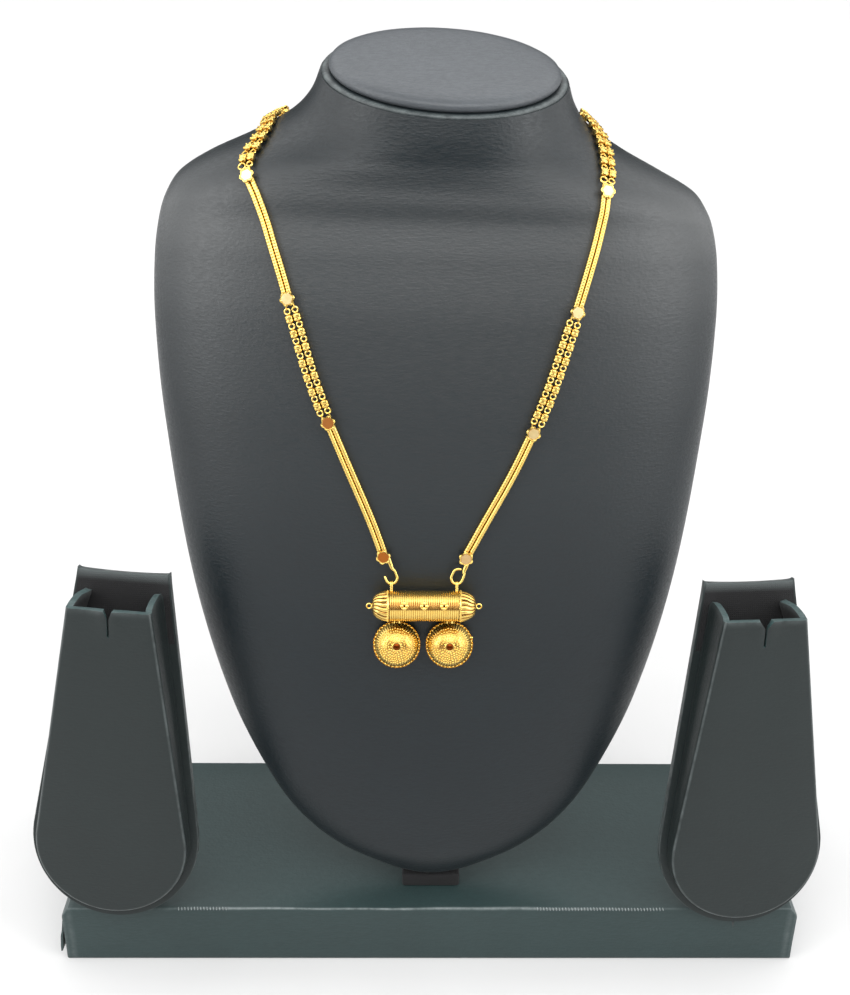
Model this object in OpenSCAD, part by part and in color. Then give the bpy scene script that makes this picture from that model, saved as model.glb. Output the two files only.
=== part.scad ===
// A mangalsutra, the wedding necklace of south Asia, worn by a padded neck bust
// on a base board that also carries two pockets for earrings.
// Millimetres. X to the viewer's right, Y to the back, Z up. The origin is the
// middle of the base board's underside.

/* [Base board] */
// Width of the base board
board_w = 305; // [300:1:312]
// Depth of the base board, front to back
board_d = 96; // [94:1:104]
// Height of the base board
board_h = 28; // [26:1:30]

/* [Neck bust] */
// Lean of the bust from upright, in degrees
bust_lean = 14; // [10:1:16]
// Height of the bust's lower tip above the board
tip_gap = 7.5; // [7:0.5:9]
// Lower tip of the bust in front of the board's middle
tip_front = 32; // [30:1:34]
// Width of the foot that props the bust
foot_w = 24; // [16:1:30]
// Height of the padding on top of the neck
pad_h = 4.6; // [3:0.2:6]

/* [Earring pockets] */
// Length of a pocket's back panel
panel_len = 144; // [140:1:150]
// Length of a pocket's front face
face_len = 131; // [126:1:134]
// Half width of a pocket at its top
pocket_top_half = 17.4; // [16.4:0.5:18.4]
// Radius of a pocket's round lower end
pocket_r = 33; // [31:0.5:34]
// Inner and outer depth of a pocket at its top
pocket_depth = 20.5; // [17.5:0.5:21.5]
// Wall of a pocket
pocket_wall = 2.5; // [2:0.1:3]
// Lean of a pocket from upright, in degrees
pocket_lean = 16; // [14:0.5:17]

/* [Chains] */
// Diameter of one snake chain strand
snake_d = 1.8; // [1.6:0.1:1.8]
// Spacing of the two snake chain strands
snake_pitch = 1.95; // [1.95:0.05:2.1]
// Diameter of one bead
bead_d = 2.5; // [2.2:0.1:2.5]
// Spacing of the two bead strands
strand_pitch = 3; // [2.9:0.1:3.2]
// Beads on one strand between two plates
bead_count = 7; // [7:1:7]
// Width over the lobes of a connector plate
plate_w = 5.6; // [5:0.2:6]

/* [Pendant] */
// Diameter of the barrel
barrel_d = 11.5; // [11:0.1:12]
// Length of the barrel between its domed caps
barrel_len = 26.2; // [25.8:0.2:28]
// Pitch of the barrel's ribs
rib_pitch = 0.8; // [0.7:0.1:1]
// Flutes on a domed cap
flute_count = 18; // [12:1:24]
// Diameter of one gold cup below the barrel
cup_d = 17.7; // [17:0.1:18]
// Height of a cup's dome
cup_h = 5.6; // [4.5:0.1:6]
// Granules in the rim row of a cup
granule_count = 36; // [24:1:36]

/* [Hidden] */

LEATHERETTE = [0.25, 0.28, 0.3];
LINING = [0.13, 0.15, 0.16];
GOLD = [0.86, 0.68, 0.25];

// Sections of the bust, from its lower tip to the top of the neck. Columns: height up the bust,
// half width, bulge to the front, depth to the back, squareness of the back, middle set back,
// tilt towards the front, roll to the right, shift to the right.
SECTIONS = [
    [0, 3, 3, 3, 2, 0, 0, 0, 0],
    [1.2, 11, 6, 5, 2, 0, 0, 0, 0],
    [4, 20, 9, 7, 2.3, 0, 0, 0, 0],
    [13, 38.5, 14.5, 9, 3.5, 0, 0, 0, 0],
    [26, 54, 18.5, 10, 5, 0, 0, 0, 0],
    [44, 66.5, 22.5, 10, 6, 0, 0, 0, 0],
    [78, 82, 27, 10, 6, 0, 0, 0, 0],
    [128, 95.5, 32, 10, 6, 0, 0, 0, 0],
    [192, 104.5, 36.5, 10, 6, 0, 0, 0, 0],
    [230, 107, 37.5, 10, 6, 0, 0, 0.2, 0],
    [253, 106.2, 36.5, 10.5, 6, 0, 0.5, 0.7, 0],
    [267, 103.8, 35.5, 12.5, 5, 0, 2.5, 1.2, 0],
    [275, 100.5, 35, 15, 4.2, -0.5, 5, 1.6, 0],
    [282, 95, 34.3, 17.5, 3.6, -1, 8, 1.9, 0],
    [288.5, 83.5, 33.8, 20.5, 3.1, -1.7, 11.5, 2.1, -0.6],
    [295, 69, 33.4, 24.5, 2.7, -2.6, 16, 2.2, 0],
    [302.5, 55.5, 33.4, 29, 2.3, -3.8, 21.5, 2.3, 0.8],
    [310, 48.8, 33.8, 32.5, 2, -4.6, 26.5, 2.4, 1.6],
    [319.5, 45, 34.3, 33.8, 2, -5, 31, 2.6, 2.2]];
HALF = 1;
FRONT = 2;
BACK = 3;
SQUARE = 4;
SET_BACK = 5;
TILT = 6;
ROLL = 7;
SHIFT = 8;
neck_top = SECTIONS[len(SECTIONS) - 1][0];

// The necklace's line round the bust, from the left hook over the nape to the right hook.
// Columns: height up the bust, angle round it from the front, to the viewer's right.
ROUTE = [
    [137.5, -10], [157, -13.5], [182, -19], [208, -24.5], [232, -28.5], [254.5, -33], [271.5, -38],
    [282.5, -45.5], [291, -58.5], [297.5, -78.5], [298.5, -99.5], [297, -128.5], [294.5, -158.5],
    [293.5, -186.5], [295.5, -206.5], [301.5, -244.5], [302.5, -263.5], [300.5, -278.5],
    [297.5, -292.5], [291.5, -308.5], [283.5, -320.5], [273.5, -325], [258, -328.5], [231, -333.5],
    [205, -338], [180, -343.5], [157, -350], [138, -355.5]];
route_steps = 10;

// The five plates of each side, as lengths from that side's hook
LEFT_AT = [8, 62, 108.2, 153.3, 199.2];
RIGHT_AT = [7.5, 60.3, 106, 149.3, 195];

// Reach of a block that cuts a piece off at a plane
far = 150;

// Gap that keeps loose pieces apart, and the chains' gap off the bust
gap = 0.12;
rest_gap = 0.3;
snake_lift = rest_gap + snake_d / 2;
bead_lift = rest_gap + bead_d / 2;

// The jump rings, and the eyes on beads and plates. A bead's eyes reach as far as its strand needs.
ring_wire = 0.15;
ring_r = 1;
eye_t = 0.34;
eye_r = 0.65;
eye_hole_r = 0.34;

// Connector plates: the block under the lobed plate takes the strands' ends
block_half_len = 1.2;
block_w = 4;
block_low = 0.35;
block_top = 2.4;
plate_t = 0.6;
plate_lobes = 6;
plate_eye_at = 3.25;
mirror_r = 2.25;
mirror_sunk = 0.15;

// The pendant lies on the bust at this height, this far to the right of the bust's middle
pendant_level = 127.6;
pendant_x = -4.3;
pendant_tip = 4.8;
barrel_r = barrel_d / 2;
barrel_lift = 0.5 + barrel_r;
barrel_wall = 0.7;
rib_h = 0.28;
flower_pitch = 7.3;
flower_h = 0.35;
flower_up = 21.5;
petal_r = 0.75;
petal_at = 0.95;
cap_len = 6.4;
end_ring_r = 0.95;
end_ring_wire = 0.28;
cup_pitch = 19.8;
cup_shift = -0.2;
cup_wall = 0.8;
dome_half = cup_d / 2 - 0.2;
dome_low = 0.4;
cup_row_at = [7.6, 6.1, 4.6, 3.1];
cup_row_h = 0.3;
cup_reach = 11.1;
cup_tilt = 14;
cup_back = 1.25;
bail_x = 12.1;
bail_back = 15;
bail_r = 1;
bail_wire = 0.36;
bail_top = 8.2;
hook_r = 2.1;
hook_rise = 1.5;
hook_side = 42;
hook_wire = 0.45;
link_low = 4.6;
link_back = 4.4;
link_eye_r = 0.9;
link_eye_wire = 0.25;

// Where the bust and its tip stand
tip_y = -tip_front;
tip_z = board_h + tip_gap;

// Children in a frame whose X, Y and Z axes and origin are given
module in_frame(x, y, z, origin) {
    multmatrix([for (i = [0:2]) [x[i], y[i], z[i], origin[i]]]) children();
}

// A piece of the bust's own frame: its height runs up the lean
module in_bust() {
    translate([0, tip_y, tip_z]) rotate([-bust_lean, 0, 0]) children();
}

// Sections between the table's rows, by a smooth cubic through them
function row_below(level, i = 0) =
    i >= len(SECTIONS) - 2 || level < SECTIONS[i + 1][0] ? i : row_below(level, i + 1);
function row_slope(i) =
    let (a = SECTIONS[max(i - 1, 0)], b = SECTIONS[min(i + 1, len(SECTIONS) - 1)])
    (b - a) / (b[0] - a[0]);
function section(level) =
    let (i = row_below(level), a = SECTIONS[i], b = SECTIONS[i + 1],
         span = b[0] - a[0], t = (level - a[0]) / span)
    a * (2 * t ^ 3 - 3 * t ^ 2 + 1) + row_slope(i) * span * (t ^ 3 - 2 * t ^ 2 + t)
    + b * (3 * t ^ 2 - 2 * t ^ 3) + row_slope(i + 1) * span * (t ^ 3 - t ^ 2);

// A point in the plane of section s: x to the right and depth to the back of its middle, lifted off it
function in_section(s, level, x, depth, lift = 0) = [
    s[SHIFT] + x * cos(s[ROLL]) + lift * sin(s[ROLL]),
    s[SET_BACK] + depth * cos(s[TILT]) - lift * sin(s[TILT]),
    level + depth * sin(s[TILT]) - x * sin(s[ROLL]) + lift * cos(s[TILT])];
function back_depth(s, turn) =
    s[BACK] * pow(max(1 - pow(abs(sin(turn)), s[SQUARE]), 0), 1 / s[SQUARE]);
function skin(level, turn) =
    let (s = section(level))
    in_section(s, level, s[HALF] * sin(turn), cos(turn) >= 0 ? -s[FRONT] * cos(turn) : back_depth(s, turn));
function unit(v) = v / norm(v);
function skin_out(level, turn) = unit(cross(
    skin(level, turn + 0.2) - skin(level, turn - 0.2),
    skin(level + 0.2, turn) - skin(level - 0.2, turn)));

// Faces of a closed skin through equal rings of points, with flat ends
function loft_faces(rings, sides) = concat(
    [[for (j = [0:sides - 1]) j]],
    [for (i = [0:rings - 2], j = [0:sides - 1], half = [0, 1])
        let (a = i * sides + j, b = i * sides + (j + 1) % sides)
        half == 0 ? [a, b + sides, b] : [a, a + sides, b + sides]],
    [[for (j = [sides - 1:-1:0]) (rings - 1) * sides + j]]);
module loft(rings) {
    polyhedron([for (ring = rings) each ring], loft_faces(len(rings), len(rings[0])), convexity = 6);
}

// The length along a line of points, at each of them
function lengths_along(p) = [for (i = 0, sum = 0; i < len(p);
    sum = sum + (i + 1 < len(p) ? norm(p[i + 1] - p[i]) : 0), i = i + 1) sum];

// The route as fine steps, and tables that give its height and angle at a length along it
function route_part(i, t) =
    let (last = len(ROUTE) - 1, a = ROUTE[max(i - 1, 0)], b = ROUTE[i],
         c = ROUTE[i + 1], d = ROUTE[min(i + 2, last)])
    (2 * b + (c - a) * t + (2 * a - 5 * b + 4 * c - d) * t ^ 2 + (3 * b - a - 3 * c + d) * t ^ 3) / 2;
route_fine = concat(
    [for (i = [0:len(ROUTE) - 2], k = [0:route_steps - 1]) route_part(i, k / route_steps)],
    [ROUTE[len(ROUTE) - 1]]);
route_points = [for (r = route_fine) skin(r[0], r[1])];
route_lengths = lengths_along(route_points);
level_at = [for (i = [0:len(route_fine) - 1]) [route_lengths[i], route_fine[i][0]]];
turn_at = [for (i = [0:len(route_fine) - 1]) [route_lengths[i], route_fine[i][1]]];
route_len = route_lengths[len(route_lengths) - 1];
function left_at(plate) = LEFT_AT[plate];
function right_at(plate) = route_len - RIGHT_AT[plate];

// At length s: the bust's skin, the way out of it, the way ahead, and the way to the loop's outer side
function on_skin(s) = skin(lookup(s, level_at), lookup(s, turn_at));
function way_out(s) = skin_out(lookup(s, level_at), lookup(s, turn_at));
function way_ahead(s) =
    let (n = way_out(s), d = on_skin(s + 0.5) - on_skin(s - 0.5))
    unit(d - n * (d * n));
function beside(s) = cross(way_out(s), way_ahead(s));
function spot(s, lift, aside) = on_skin(s) + way_out(s) * lift + beside(s) * aside;

// A frame on the route: X ahead, Y to the outer side, Z away from the bust
module on_route(s, lift = 0, aside = 0) {
    in_frame(way_ahead(s), beside(s), way_out(s), spot(s, lift, aside)) children();
}

// A strand beside the route: a table from its own length to the route's, and its whole length
function strand_table(s0, s1, lift, aside, n = 48) =
    let (at = [for (i = [0:n]) s0 + (s1 - s0) * i / n],
         own = lengths_along([for (s = at) spot(s, lift, aside)]))
    [for (i = [0:n]) [own[i], at[i]]];
function table_len(table) = table[len(table) - 1][0];

// A ring of wire in the XY plane, or the part of it that turn gives
module wire_ring(r, wire, turn = 360) {
    rotate_extrude(angle = turn, $fn = 32) translate([r, 0]) circle(r = wire, $fn = 24);
}

// A loop of wire: two legs along X that start at from, and a round end whose middle is at to
module wire_loop(r, wire, from, to) {
    for (side = [-1, 1]) translate([from, side * r, 0]) rotate([0, 90, 0])
        cylinder(r = wire, h = to - from, $fn = 24);
    translate([to, 0, 0]) rotate([0, 0, -90]) wire_ring(r, wire, 180);
}

// A flat eye that stands on edge along X, its hole's middle at at
module eye_tab(at) {
    translate([0, eye_t / 2, 0]) rotate([90, 0, 0]) linear_extrude(eye_t) difference() {
        union() {
            translate([0, -eye_r]) square([at, 2 * eye_r]);
            translate([at, 0]) circle(r = eye_r, $fn = 32);
        }
        translate([at, 0]) circle(r = eye_hole_r, $fn = 32);
    }
}

module base_board() {
    chamfer_w = 3;
    chamfer_h = 4;
    color(LEATHERETTE)
        translate([0, board_d / 2, 0]) rotate([90, 0, 0]) linear_extrude(board_d)
            polygon([[-board_w / 2, 0], [board_w / 2, 0], [board_w / 2, board_h - chamfer_h],
                [board_w / 2 - chamfer_w, board_h], [chamfer_w - board_w / 2, board_h],
                [-board_w / 2, board_h - chamfer_h]]);
}

module neck_bust() {
    sides = 60;
    tip_end = 26;
    chest_end = 242;
    tip_rings = 8;
    chest_rings = 14;
    neck_rings = 26;
    levels = concat(
        [for (i = [0:tip_rings]) tip_end * (i / tip_rings) ^ 2],
        [for (i = [1:chest_rings]) tip_end + (chest_end - tip_end) * i / chest_rings],
        [for (i = [1:neck_rings]) chest_end + (neck_top - 0.01 - chest_end) * i / neck_rings]);
    color(LEATHERETTE) in_bust()
        loft([for (level = levels) [for (j = [0:sides - 1]) skin(level, j * 360 / sides)]]);
}

// The padded oval on top of the neck. Columns: set in from the neck's rim, share of the pad's height.
module neck_pad() {
    sides = 60;
    profile = [[3.6, 0.05], [3.3, 0.3], [3.7, 0.55], [5, 0.75], [8, 0.9], [14, 0.97], [24, 1]];
    s = section(neck_top - 0.01);
    color(LEATHERETTE) in_bust()
        loft([for (p = profile) [for (j = [0:sides - 1])
            in_section(s, neck_top, (s[HALF] - p[0]) * sin(j * 360 / sides),
                -(s[FRONT] - p[0]) * cos(j * 360 / sides), pad_h * p[1])]]);
}

// The prop: a low foot under the tip and a leg behind the bust that follows its back
function behind_bust(level) =
    let (depth = section(100)[BACK] + rest_gap)
    [tip_y + depth * cos(bust_lean) + level * sin(bust_lean),
     tip_z - depth * sin(bust_lean) + level * cos(bust_lean)];
module bust_foot() {
    leg_low = 26;
    leg_top = 120;
    leg_foot = 30;
    color(LINING)
        translate([-foot_w / 2, 0, 0]) rotate([90, 0, 90]) linear_extrude(foot_w)
            polygon([[tip_y - 3, board_h], [tip_y - 3, tip_z - 1], [behind_bust(0)[0], tip_z - 1],
                behind_bust(leg_low), behind_bust(leg_top), behind_bust(leg_top) + [6, 0],
                [leg_foot, board_h]]);
}

// A tongue: straight sides that run from a top edge tangent to a round lower end, its lowest point at 0
module tongue(top_half, len, r) {
    lean = asin(r / norm([top_half, len - r])) - atan2(top_half, len - r);
    translate([0, r]) circle(r = r, $fn = 120);
    polygon([[r * cos(lean), r + r * sin(lean)], [top_half, len], [-top_half, len],
        [-r * cos(lean), r + r * sin(lean)]]);
}

// A pocket's own frame: X across, Y to the back, Z up the panel. side is -1 at the left, 1 at the right.
module in_pocket(side) {
    foot = side < 0 ? [-129.5, -53.2, 2] : [126.1, -52.8, -2];
    turn_out = 4;
    top_in = side < 0 ? 2.7 : 0;
    translate(foot + [0, 0, board_h]) rotate([-pocket_lean, -side * top_in, side * turn_out]) children();
}

// The back panel and the block that props it on the board, its back sloped
module pocket_back(side) {
    panel_t = 3;
    rim = 0.5;
    block = [28, 26, 22];
    block_at = [side * 130 - block[0] / 2, -46, board_h];
    back_slope = 30;
    color(LINING) {
        in_pocket(side) translate([0, panel_t + 0.1, 0]) rotate([90, 0, 0])
            linear_extrude(panel_t) tongue(pocket_top_half + rim, panel_len, pocket_r + rim);
        difference() {
            translate(block_at) cube(block);
            in_pocket(side) translate([-far, panel_t / 2 - 2 * far, -far]) cube([2 * far, 2 * far, 4 * far]);
            translate(block_at + [-far, block[1], 0]) rotate([back_slope, 0, 0]) cube([3 * far, far, far]);
        }
    }
}

// A wedge that is deep at its open top and thin at its round lower end
module pocket_front(side) {
    low = 3;
    low_depth = 3;
    set_in = 2.7;
    r = pocket_r - set_in;
    front_lean = atan2(pocket_depth - low_depth, face_len);
    top_rise = 9;
    notch = [5, 3];
    slit = [0.8, 12];
    color(LEATHERETTE) in_pocket(side) difference() {
        translate([0, 0, low]) rotate([90, 0, 0]) linear_extrude(2 * pocket_depth)
            tongue(pocket_top_half - set_in, face_len + 10, r);
        // What lies before the slanted front face
        translate([0, -low_depth, 0]) rotate([front_lean, 0, 0]) before_plane();
        // The hollow, open at the top and closed at the back by the panel
        difference() {
            translate([0, 1, low + pocket_wall]) rotate([90, 0, 0]) linear_extrude(2 * pocket_depth)
                tongue(pocket_top_half - set_in - pocket_wall, face_len + 20, r - pocket_wall);
            translate([0, pocket_wall - low_depth, 0]) rotate([front_lean, 0, 0]) before_plane();
        }
        // The top edge rises from the face to the panel
        translate([0, -pocket_depth, low + face_len]) rotate([top_rise - 90, 0, 0]) before_plane();
        // A notch and a slit to hang an earring
        translate([0, -pocket_depth - 3, low + face_len]) rotate([-90, 0, 0])
            linear_extrude(pocket_wall + 4)
                polygon([[-notch[0] / 2, -5], [notch[0] / 2, -5], [notch[0] / 2, 0], [slit[0] / 2, notch[1]],
                    [slit[0] / 2, slit[1]], [-slit[0] / 2, slit[1]], [-slit[0] / 2, notch[1]],
                    [-notch[0] / 2, 0]]);
    }
}

// All that lies before the plane Y = 0
module before_plane() {
    translate([-far, -far, -far]) cube([2 * far, far, 4 * far]);
}

// The pendant's frame: X along the barrel, Y up, Z away from the bust, the origin on the bust's skin
function pendant_out() = [0, -cos(pendant_tip), -sin(pendant_tip)];
function pendant_up() = [0, -sin(pendant_tip), cos(pendant_tip)];
function pendant_base() =
    let (s = section(pendant_level))
    skin(pendant_level, asin(pendant_x / s[HALF]));
function pendant_spot(x, up, out) = pendant_base() + [x, 0, 0] + pendant_up() * up + pendant_out() * out;
module in_pendant(x = 0, up = 0, out = 0) {
    in_frame([1, 0, 0], pendant_up(), pendant_out(), pendant_spot(x, up, out)) children();
}

// The barrel's profile, a rib for each pitch, turned round the X axis
module barrel() {
    ribs = floor(barrel_len / rib_pitch);
    start = -ribs * rib_pitch / 2;
    inner = barrel_r - barrel_wall - rib_h;
    profile = concat(
        [[inner, start]],
        [for (i = [0:ribs - 1]) each [
            [barrel_r - rib_h, start + i * rib_pitch],
            [barrel_r, start + (i + 0.3) * rib_pitch],
            [barrel_r, start + (i + 0.7) * rib_pitch]]],
        [[barrel_r - rib_h, -start], [inner, -start]]);
    color(GOLD) in_bust() in_pendant(0, 0, barrel_lift) {
        rotate([0, 90, 0]) rotate_extrude($fn = 64) polygon(profile);
        // Three flowers of four petals, above the middle of the front
        for (i = [-1:1]) rotate([-flower_up, 0, 0]) translate([i * flower_pitch, 0, barrel_r - barrel_wall])
            linear_extrude(barrel_wall + flower_h)
                for (k = [0:3]) rotate([0, 0, 90 * k]) translate([petal_at, 0]) circle(r = petal_r, $fn = 24);
        for (side = [-1, 1]) {
            // A bail that leans back to the chain
            translate([side * bail_x, 0, 0]) rotate([-bail_back, 0, 0]) rotate([0, 90, 0]) rotate([0, 0, 90])
                wire_loop(bail_r, bail_wire, barrel_r - 0.6, bail_top);
            // An eye low behind the barrel, for a cup
            translate([cup_shift + side * cup_pitch / 2, -link_low, -link_back]) rotate([0, 90, 0])
                wire_ring(link_eye_r, link_eye_wire);
        }
    }
}

// A fluted dome with a plug into the barrel and an end ring
module barrel_cap(side) {
    inner = barrel_r - barrel_wall - rib_h - gap;
    dome_r = barrel_r + 0.1;
    flute_h = 0.35;
    start = floor(barrel_len / rib_pitch) * rib_pitch / 2 + gap;
    color(GOLD) in_bust() in_pendant(0, 0, barrel_lift) rotate([0, side * 90, 0]) translate([0, 0, start]) {
        translate([0, 0, -2]) cylinder(r = inner, h = 2.2, $fn = 64);
        rotate_extrude($fn = 64) cap_profile(dome_r - flute_h, cap_len - 0.4);
        for (i = [0:flute_count - 1]) rotate([0, 0, i * 360 / flute_count])
            rotate_extrude(angle = 200 / flute_count, $fn = 64) cap_profile(dome_r, cap_len);
        cylinder(r = dome_r + 0.1, h = 0.7, $fn = 64);
        translate([0, 0, cap_len - 0.8]) cylinder(r = 1.2, h = 1.1, $fn = 32);
        translate([0, 0, cap_len + 0.1 + end_ring_r]) rotate([0, 90, 0]) wire_ring(end_ring_r, end_ring_wire);
    }
}
module cap_profile(r, len) {
    steps = 8;
    polygon(concat([[0, 0]], [for (i = [0:steps]) let (a = 90 * i / steps)
        [r * (0.16 + 0.84 * pow(cos(a), 0.8)) * (i == steps ? 0.9 : 1), len * pow(sin(a), 1.15)]],
        [[0, len]]));
}

// A cup: a hollow dome, open behind, with rows of granules round a stud. It hangs by a loop whose round
// end sits in the barrel's eye, and its lower edge stands off the bust.
function cup_height(r) = dome_low + cup_h * pow(max(1 - pow(r / dome_half, 2.2), 0), 0.75);
module cup(side) {
    rim_t = 0.9;
    steps = 8;
    granule_r = 0.42;
    granules_at = cup_d / 2 - 0.55;
    stud = [1.3, 0.9];
    hollow_half = dome_half - cup_wall;
    loop_from = 8.1;
    color(GOLD) in_bust()
        in_pendant(cup_shift + side * cup_pitch / 2, -link_low - link_eye_r - gap, barrel_lift - link_back)
        rotate([-cup_tilt, 0, 0]) translate([0, -cup_reach, -cup_back]) difference() {
        union() {
            cylinder(d = cup_d, h = rim_t, $fn = 96);
            rotate_extrude($fn = 96) polygon(concat([[0, 0]],
                [for (i = [steps:-1:0]) let (r = dome_half * i / steps) [r, cup_height(r)]]));
            for (row = cup_row_at) translate([0, 0, cup_height(row)]) wire_ring(row, cup_row_h);
            for (i = [0:granule_count - 1]) rotate([0, 0, i * 360 / granule_count])
                translate([granules_at, 0, rim_t + 0.1]) sphere(r = granule_r, $fn = 24);
            translate([0, 0, cup_height(0) - dome_low]) cylinder(r = stud[0], h = stud[1], $fn = 6);
            translate([0, 0, cup_back]) rotate([0, 0, 90])
                wire_loop(link_eye_r, link_eye_wire, loop_from, cup_reach);
        }
        rotate_extrude($fn = 96) polygon(concat([[0, -1], [0, cup_height(0) - cup_wall]],
            [for (i = [1:steps - 1]) let (r = hollow_half * i / steps) [r, cup_height(r) - cup_wall]],
            [[hollow_half, 0.3], [hollow_half, -1]]));
    }
}

// A lobed plate on its block, and on the beads' side two eyes. way is 1 where the beads lie ahead, -1
// where they lie behind, and 0 with no beads.
module plate_shape(way) {
    lobe_r = 1.05;
    difference() {
        union() {
            translate([-block_half_len, -block_w / 2, block_low])
                cube([2 * block_half_len, block_w, block_top - block_low]);
            translate([0, 0, block_top - 0.1]) {
                cylinder(r = plate_w / 2 - 0.6, h = plate_t + 0.1, $fn = 48);
                for (i = [0:plate_lobes - 1]) rotate([0, 0, (i + 0.5) * 360 / plate_lobes])
                    translate([plate_w / 2 - lobe_r, 0, 0]) cylinder(r = lobe_r, h = plate_t + 0.1, $fn = 24);
            }
        }
        translate([0, 0, block_top + plate_t - mirror_sunk]) rotate([0, 0, 30])
            cylinder(r = mirror_r, h = 1, $fn = 6);
    }
    if (way != 0)
        for (side = [-1, 1]) translate([0, side * strand_pitch / 2, bead_lift])
            rotate([0, 0, way > 0 ? 0 : 180]) eye_tab(plate_eye_at);
}
module plate(s, way) {
    color(GOLD) in_bust() on_route(s) plate_shape(way);
}

// A hook: its plate on the route, a strap, and a long ring that opens, through the barrel's bail. The ring
// lies in the plane of the barrel's axis and the bails' lean.
function lean_up() = pendant_up() * cos(bail_back) - pendant_out() * sin(bail_back);
function lean_out() = pendant_out() * cos(bail_back) + pendant_up() * sin(bail_back);
function hook_centre(side) =
    let (reach = bail_top + bail_r - bail_wire - hook_wire - gap + hook_r)
    pendant_spot(side * bail_x, 0, barrel_lift) + lean_up() * reach;
module hook(side) {
    s = side < 0 ? left_at(0) : right_at(0);
    c = hook_centre(side);
    n = lean_out();
    d = spot(s, (block_low + block_top) / 2, 0) - c;
    x = unit(d - n * (d * n));
    tip_turn = -8;
    strap_w = 1.4;
    strap_t = 0.8;
    strap_from = hook_rise + hook_r * cos(hook_side) - 0.3;
    color(GOLD) in_bust() {
        on_route(s) plate_shape(0);
        in_frame(x, cross(n, x), n, c) {
            // The round lower end and the two legs, then the end that the strap holds
            rotate([0, 0, 90]) wire_ring(hook_r, hook_wire, 180);
            for (leg = [-1, 1]) translate([0, leg * hook_r, 0]) rotate([0, 90, 0])
                cylinder(r = hook_wire, h = hook_rise, $fn = 24);
            translate([hook_rise, 0, 0]) rotate([0, 0, -90]) wire_ring(hook_r, hook_wire, 90 - hook_side);
            // The free tip: the left hook stays wide open, the right one's tip curls up to the strap
            if (side > 0) translate([hook_rise, 0, 0]) rotate([0, 0, tip_turn])
                wire_ring(hook_r, hook_wire, 90 - tip_turn);
            translate([strap_from, -hook_r * sin(hook_side) - strap_w / 2, -strap_t / 2])
                cube([d * x - strap_from, strap_w, strap_t]);
        }
    }
}

// A strand of snake chain from plate to plate, as a tube of its outer size. side is 1 on the outer side.
module snake(s0, s1, side) {
    sides = 8;
    inset = block_half_len + 1.5 * gap;
    aside = side * snake_pitch / 2;
    r = snake_d / 2;
    table = strand_table(s0 + inset, s1 - inset, snake_lift, aside);
    rings = ceil(table_len(table) / (2 * snake_d));
    color(GOLD) in_bust()
        loft([for (i = [0:rings])
            let (s = lookup(table_len(table) * i / rings, table), c = spot(s, snake_lift, aside),
                 n = way_out(s), b = beside(s))
            [for (j = [0:sides - 1]) c + n * r * cos(j * 360 / sides) + b * r * sin(j * 360 / sides)]]);
}

// The middle of an eye on a plate or a bead at length s, reach ahead of the plate's or bead's own middle
function eye_spot(s, lift, aside, reach) =
    on_skin(s) + way_out(s) * lift + beside(s) * aside + way_ahead(s) * reach;

// A jump ring that lies flat and passes through the middles of two eyes
module jump_ring(from, to, out) {
    x = unit(to - from);
    n = unit(out - x * (x * out));
    in_frame(x, cross(n, x), n, (from + to) / 2) wire_ring(norm(to - from) / 2, ring_wire);
}

// A bead's body round the X axis, with flat ends for its eyes
module bead_body() {
    r = bead_d / 2;
    end_r = 0.8;
    half_len = 1.3;
    edge = 0.5;
    rotate([0, 90, 0]) rotate_extrude($fn = 32)
        polygon([[0, -half_len], [end_r, -half_len], [r, edge - half_len], [r, half_len - edge],
            [end_r, half_len], [0, half_len]]);
}

// A strand of beads from plate to plate: jump rings lie flat, and each bead's eyes stand on edge
module bead_strand(s0, s1, side) {
    aside = side * strand_pitch / 2;
    table = strand_table(s0 + plate_eye_at, s1 - plate_eye_at, bead_lift, aside);
    eye_at = (table_len(table) / 2 - (bead_count + 1) * ring_r) / bead_count;
    pitch = 2 * (ring_r + eye_at);
    at = [for (k = [1:bead_count]) lookup(k * pitch - eye_at, table)];
    from = concat([eye_spot(s0, bead_lift, aside, plate_eye_at)],
        [for (s = at) eye_spot(s, bead_lift, aside, eye_at)]);
    to = concat([for (s = at) eye_spot(s, bead_lift, aside, -eye_at)],
        [eye_spot(s1, bead_lift, aside, -plate_eye_at)]);
    color(GOLD) in_bust() {
        for (k = [0:bead_count]) jump_ring(from[k], to[k], way_out(at[min(k, bead_count - 1)]));
        for (s = at) on_route(s, bead_lift, aside) {
            bead_body();
            for (turn = [0, 180]) rotate([0, 0, turn]) eye_tab(eye_at);
        }
    }
}

base_board();
neck_bust();
neck_pad();
bust_foot();
pocket_back(-1);  // pocket_back_left
pocket_front(-1);  // pocket_front_left
pocket_back(1);  // pocket_back_right
pocket_front(1);  // pocket_front_right
barrel();
barrel_cap(-1);  // barrel_cap_left
barrel_cap(1);  // barrel_cap_right
cup(-1);  // cup_left
cup(1);  // cup_right
hook(-1);  // hook_left
hook(1);  // hook_right
plate(left_at(1), 1);  // plate_left_2
plate(left_at(2), -1);  // plate_left_3
plate(left_at(3), 1);  // plate_left_4
plate(left_at(4), -1);  // plate_left_5
plate(right_at(1), -1);  // plate_right_2
plate(right_at(2), 1);  // plate_right_3
plate(right_at(3), -1);  // plate_right_4
plate(right_at(4), 1);  // plate_right_5
snake(left_at(0), left_at(1), 1);  // snake_left_low_outer
snake(left_at(0), left_at(1), -1);  // snake_left_low_inner
snake(left_at(2), left_at(3), 1);  // snake_left_high_outer
snake(left_at(2), left_at(3), -1);  // snake_left_high_inner
snake(left_at(4), right_at(4), 1);  // snake_nape_outer
snake(left_at(4), right_at(4), -1);  // snake_nape_inner
snake(right_at(3), right_at(2), 1);  // snake_right_high_outer
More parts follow.
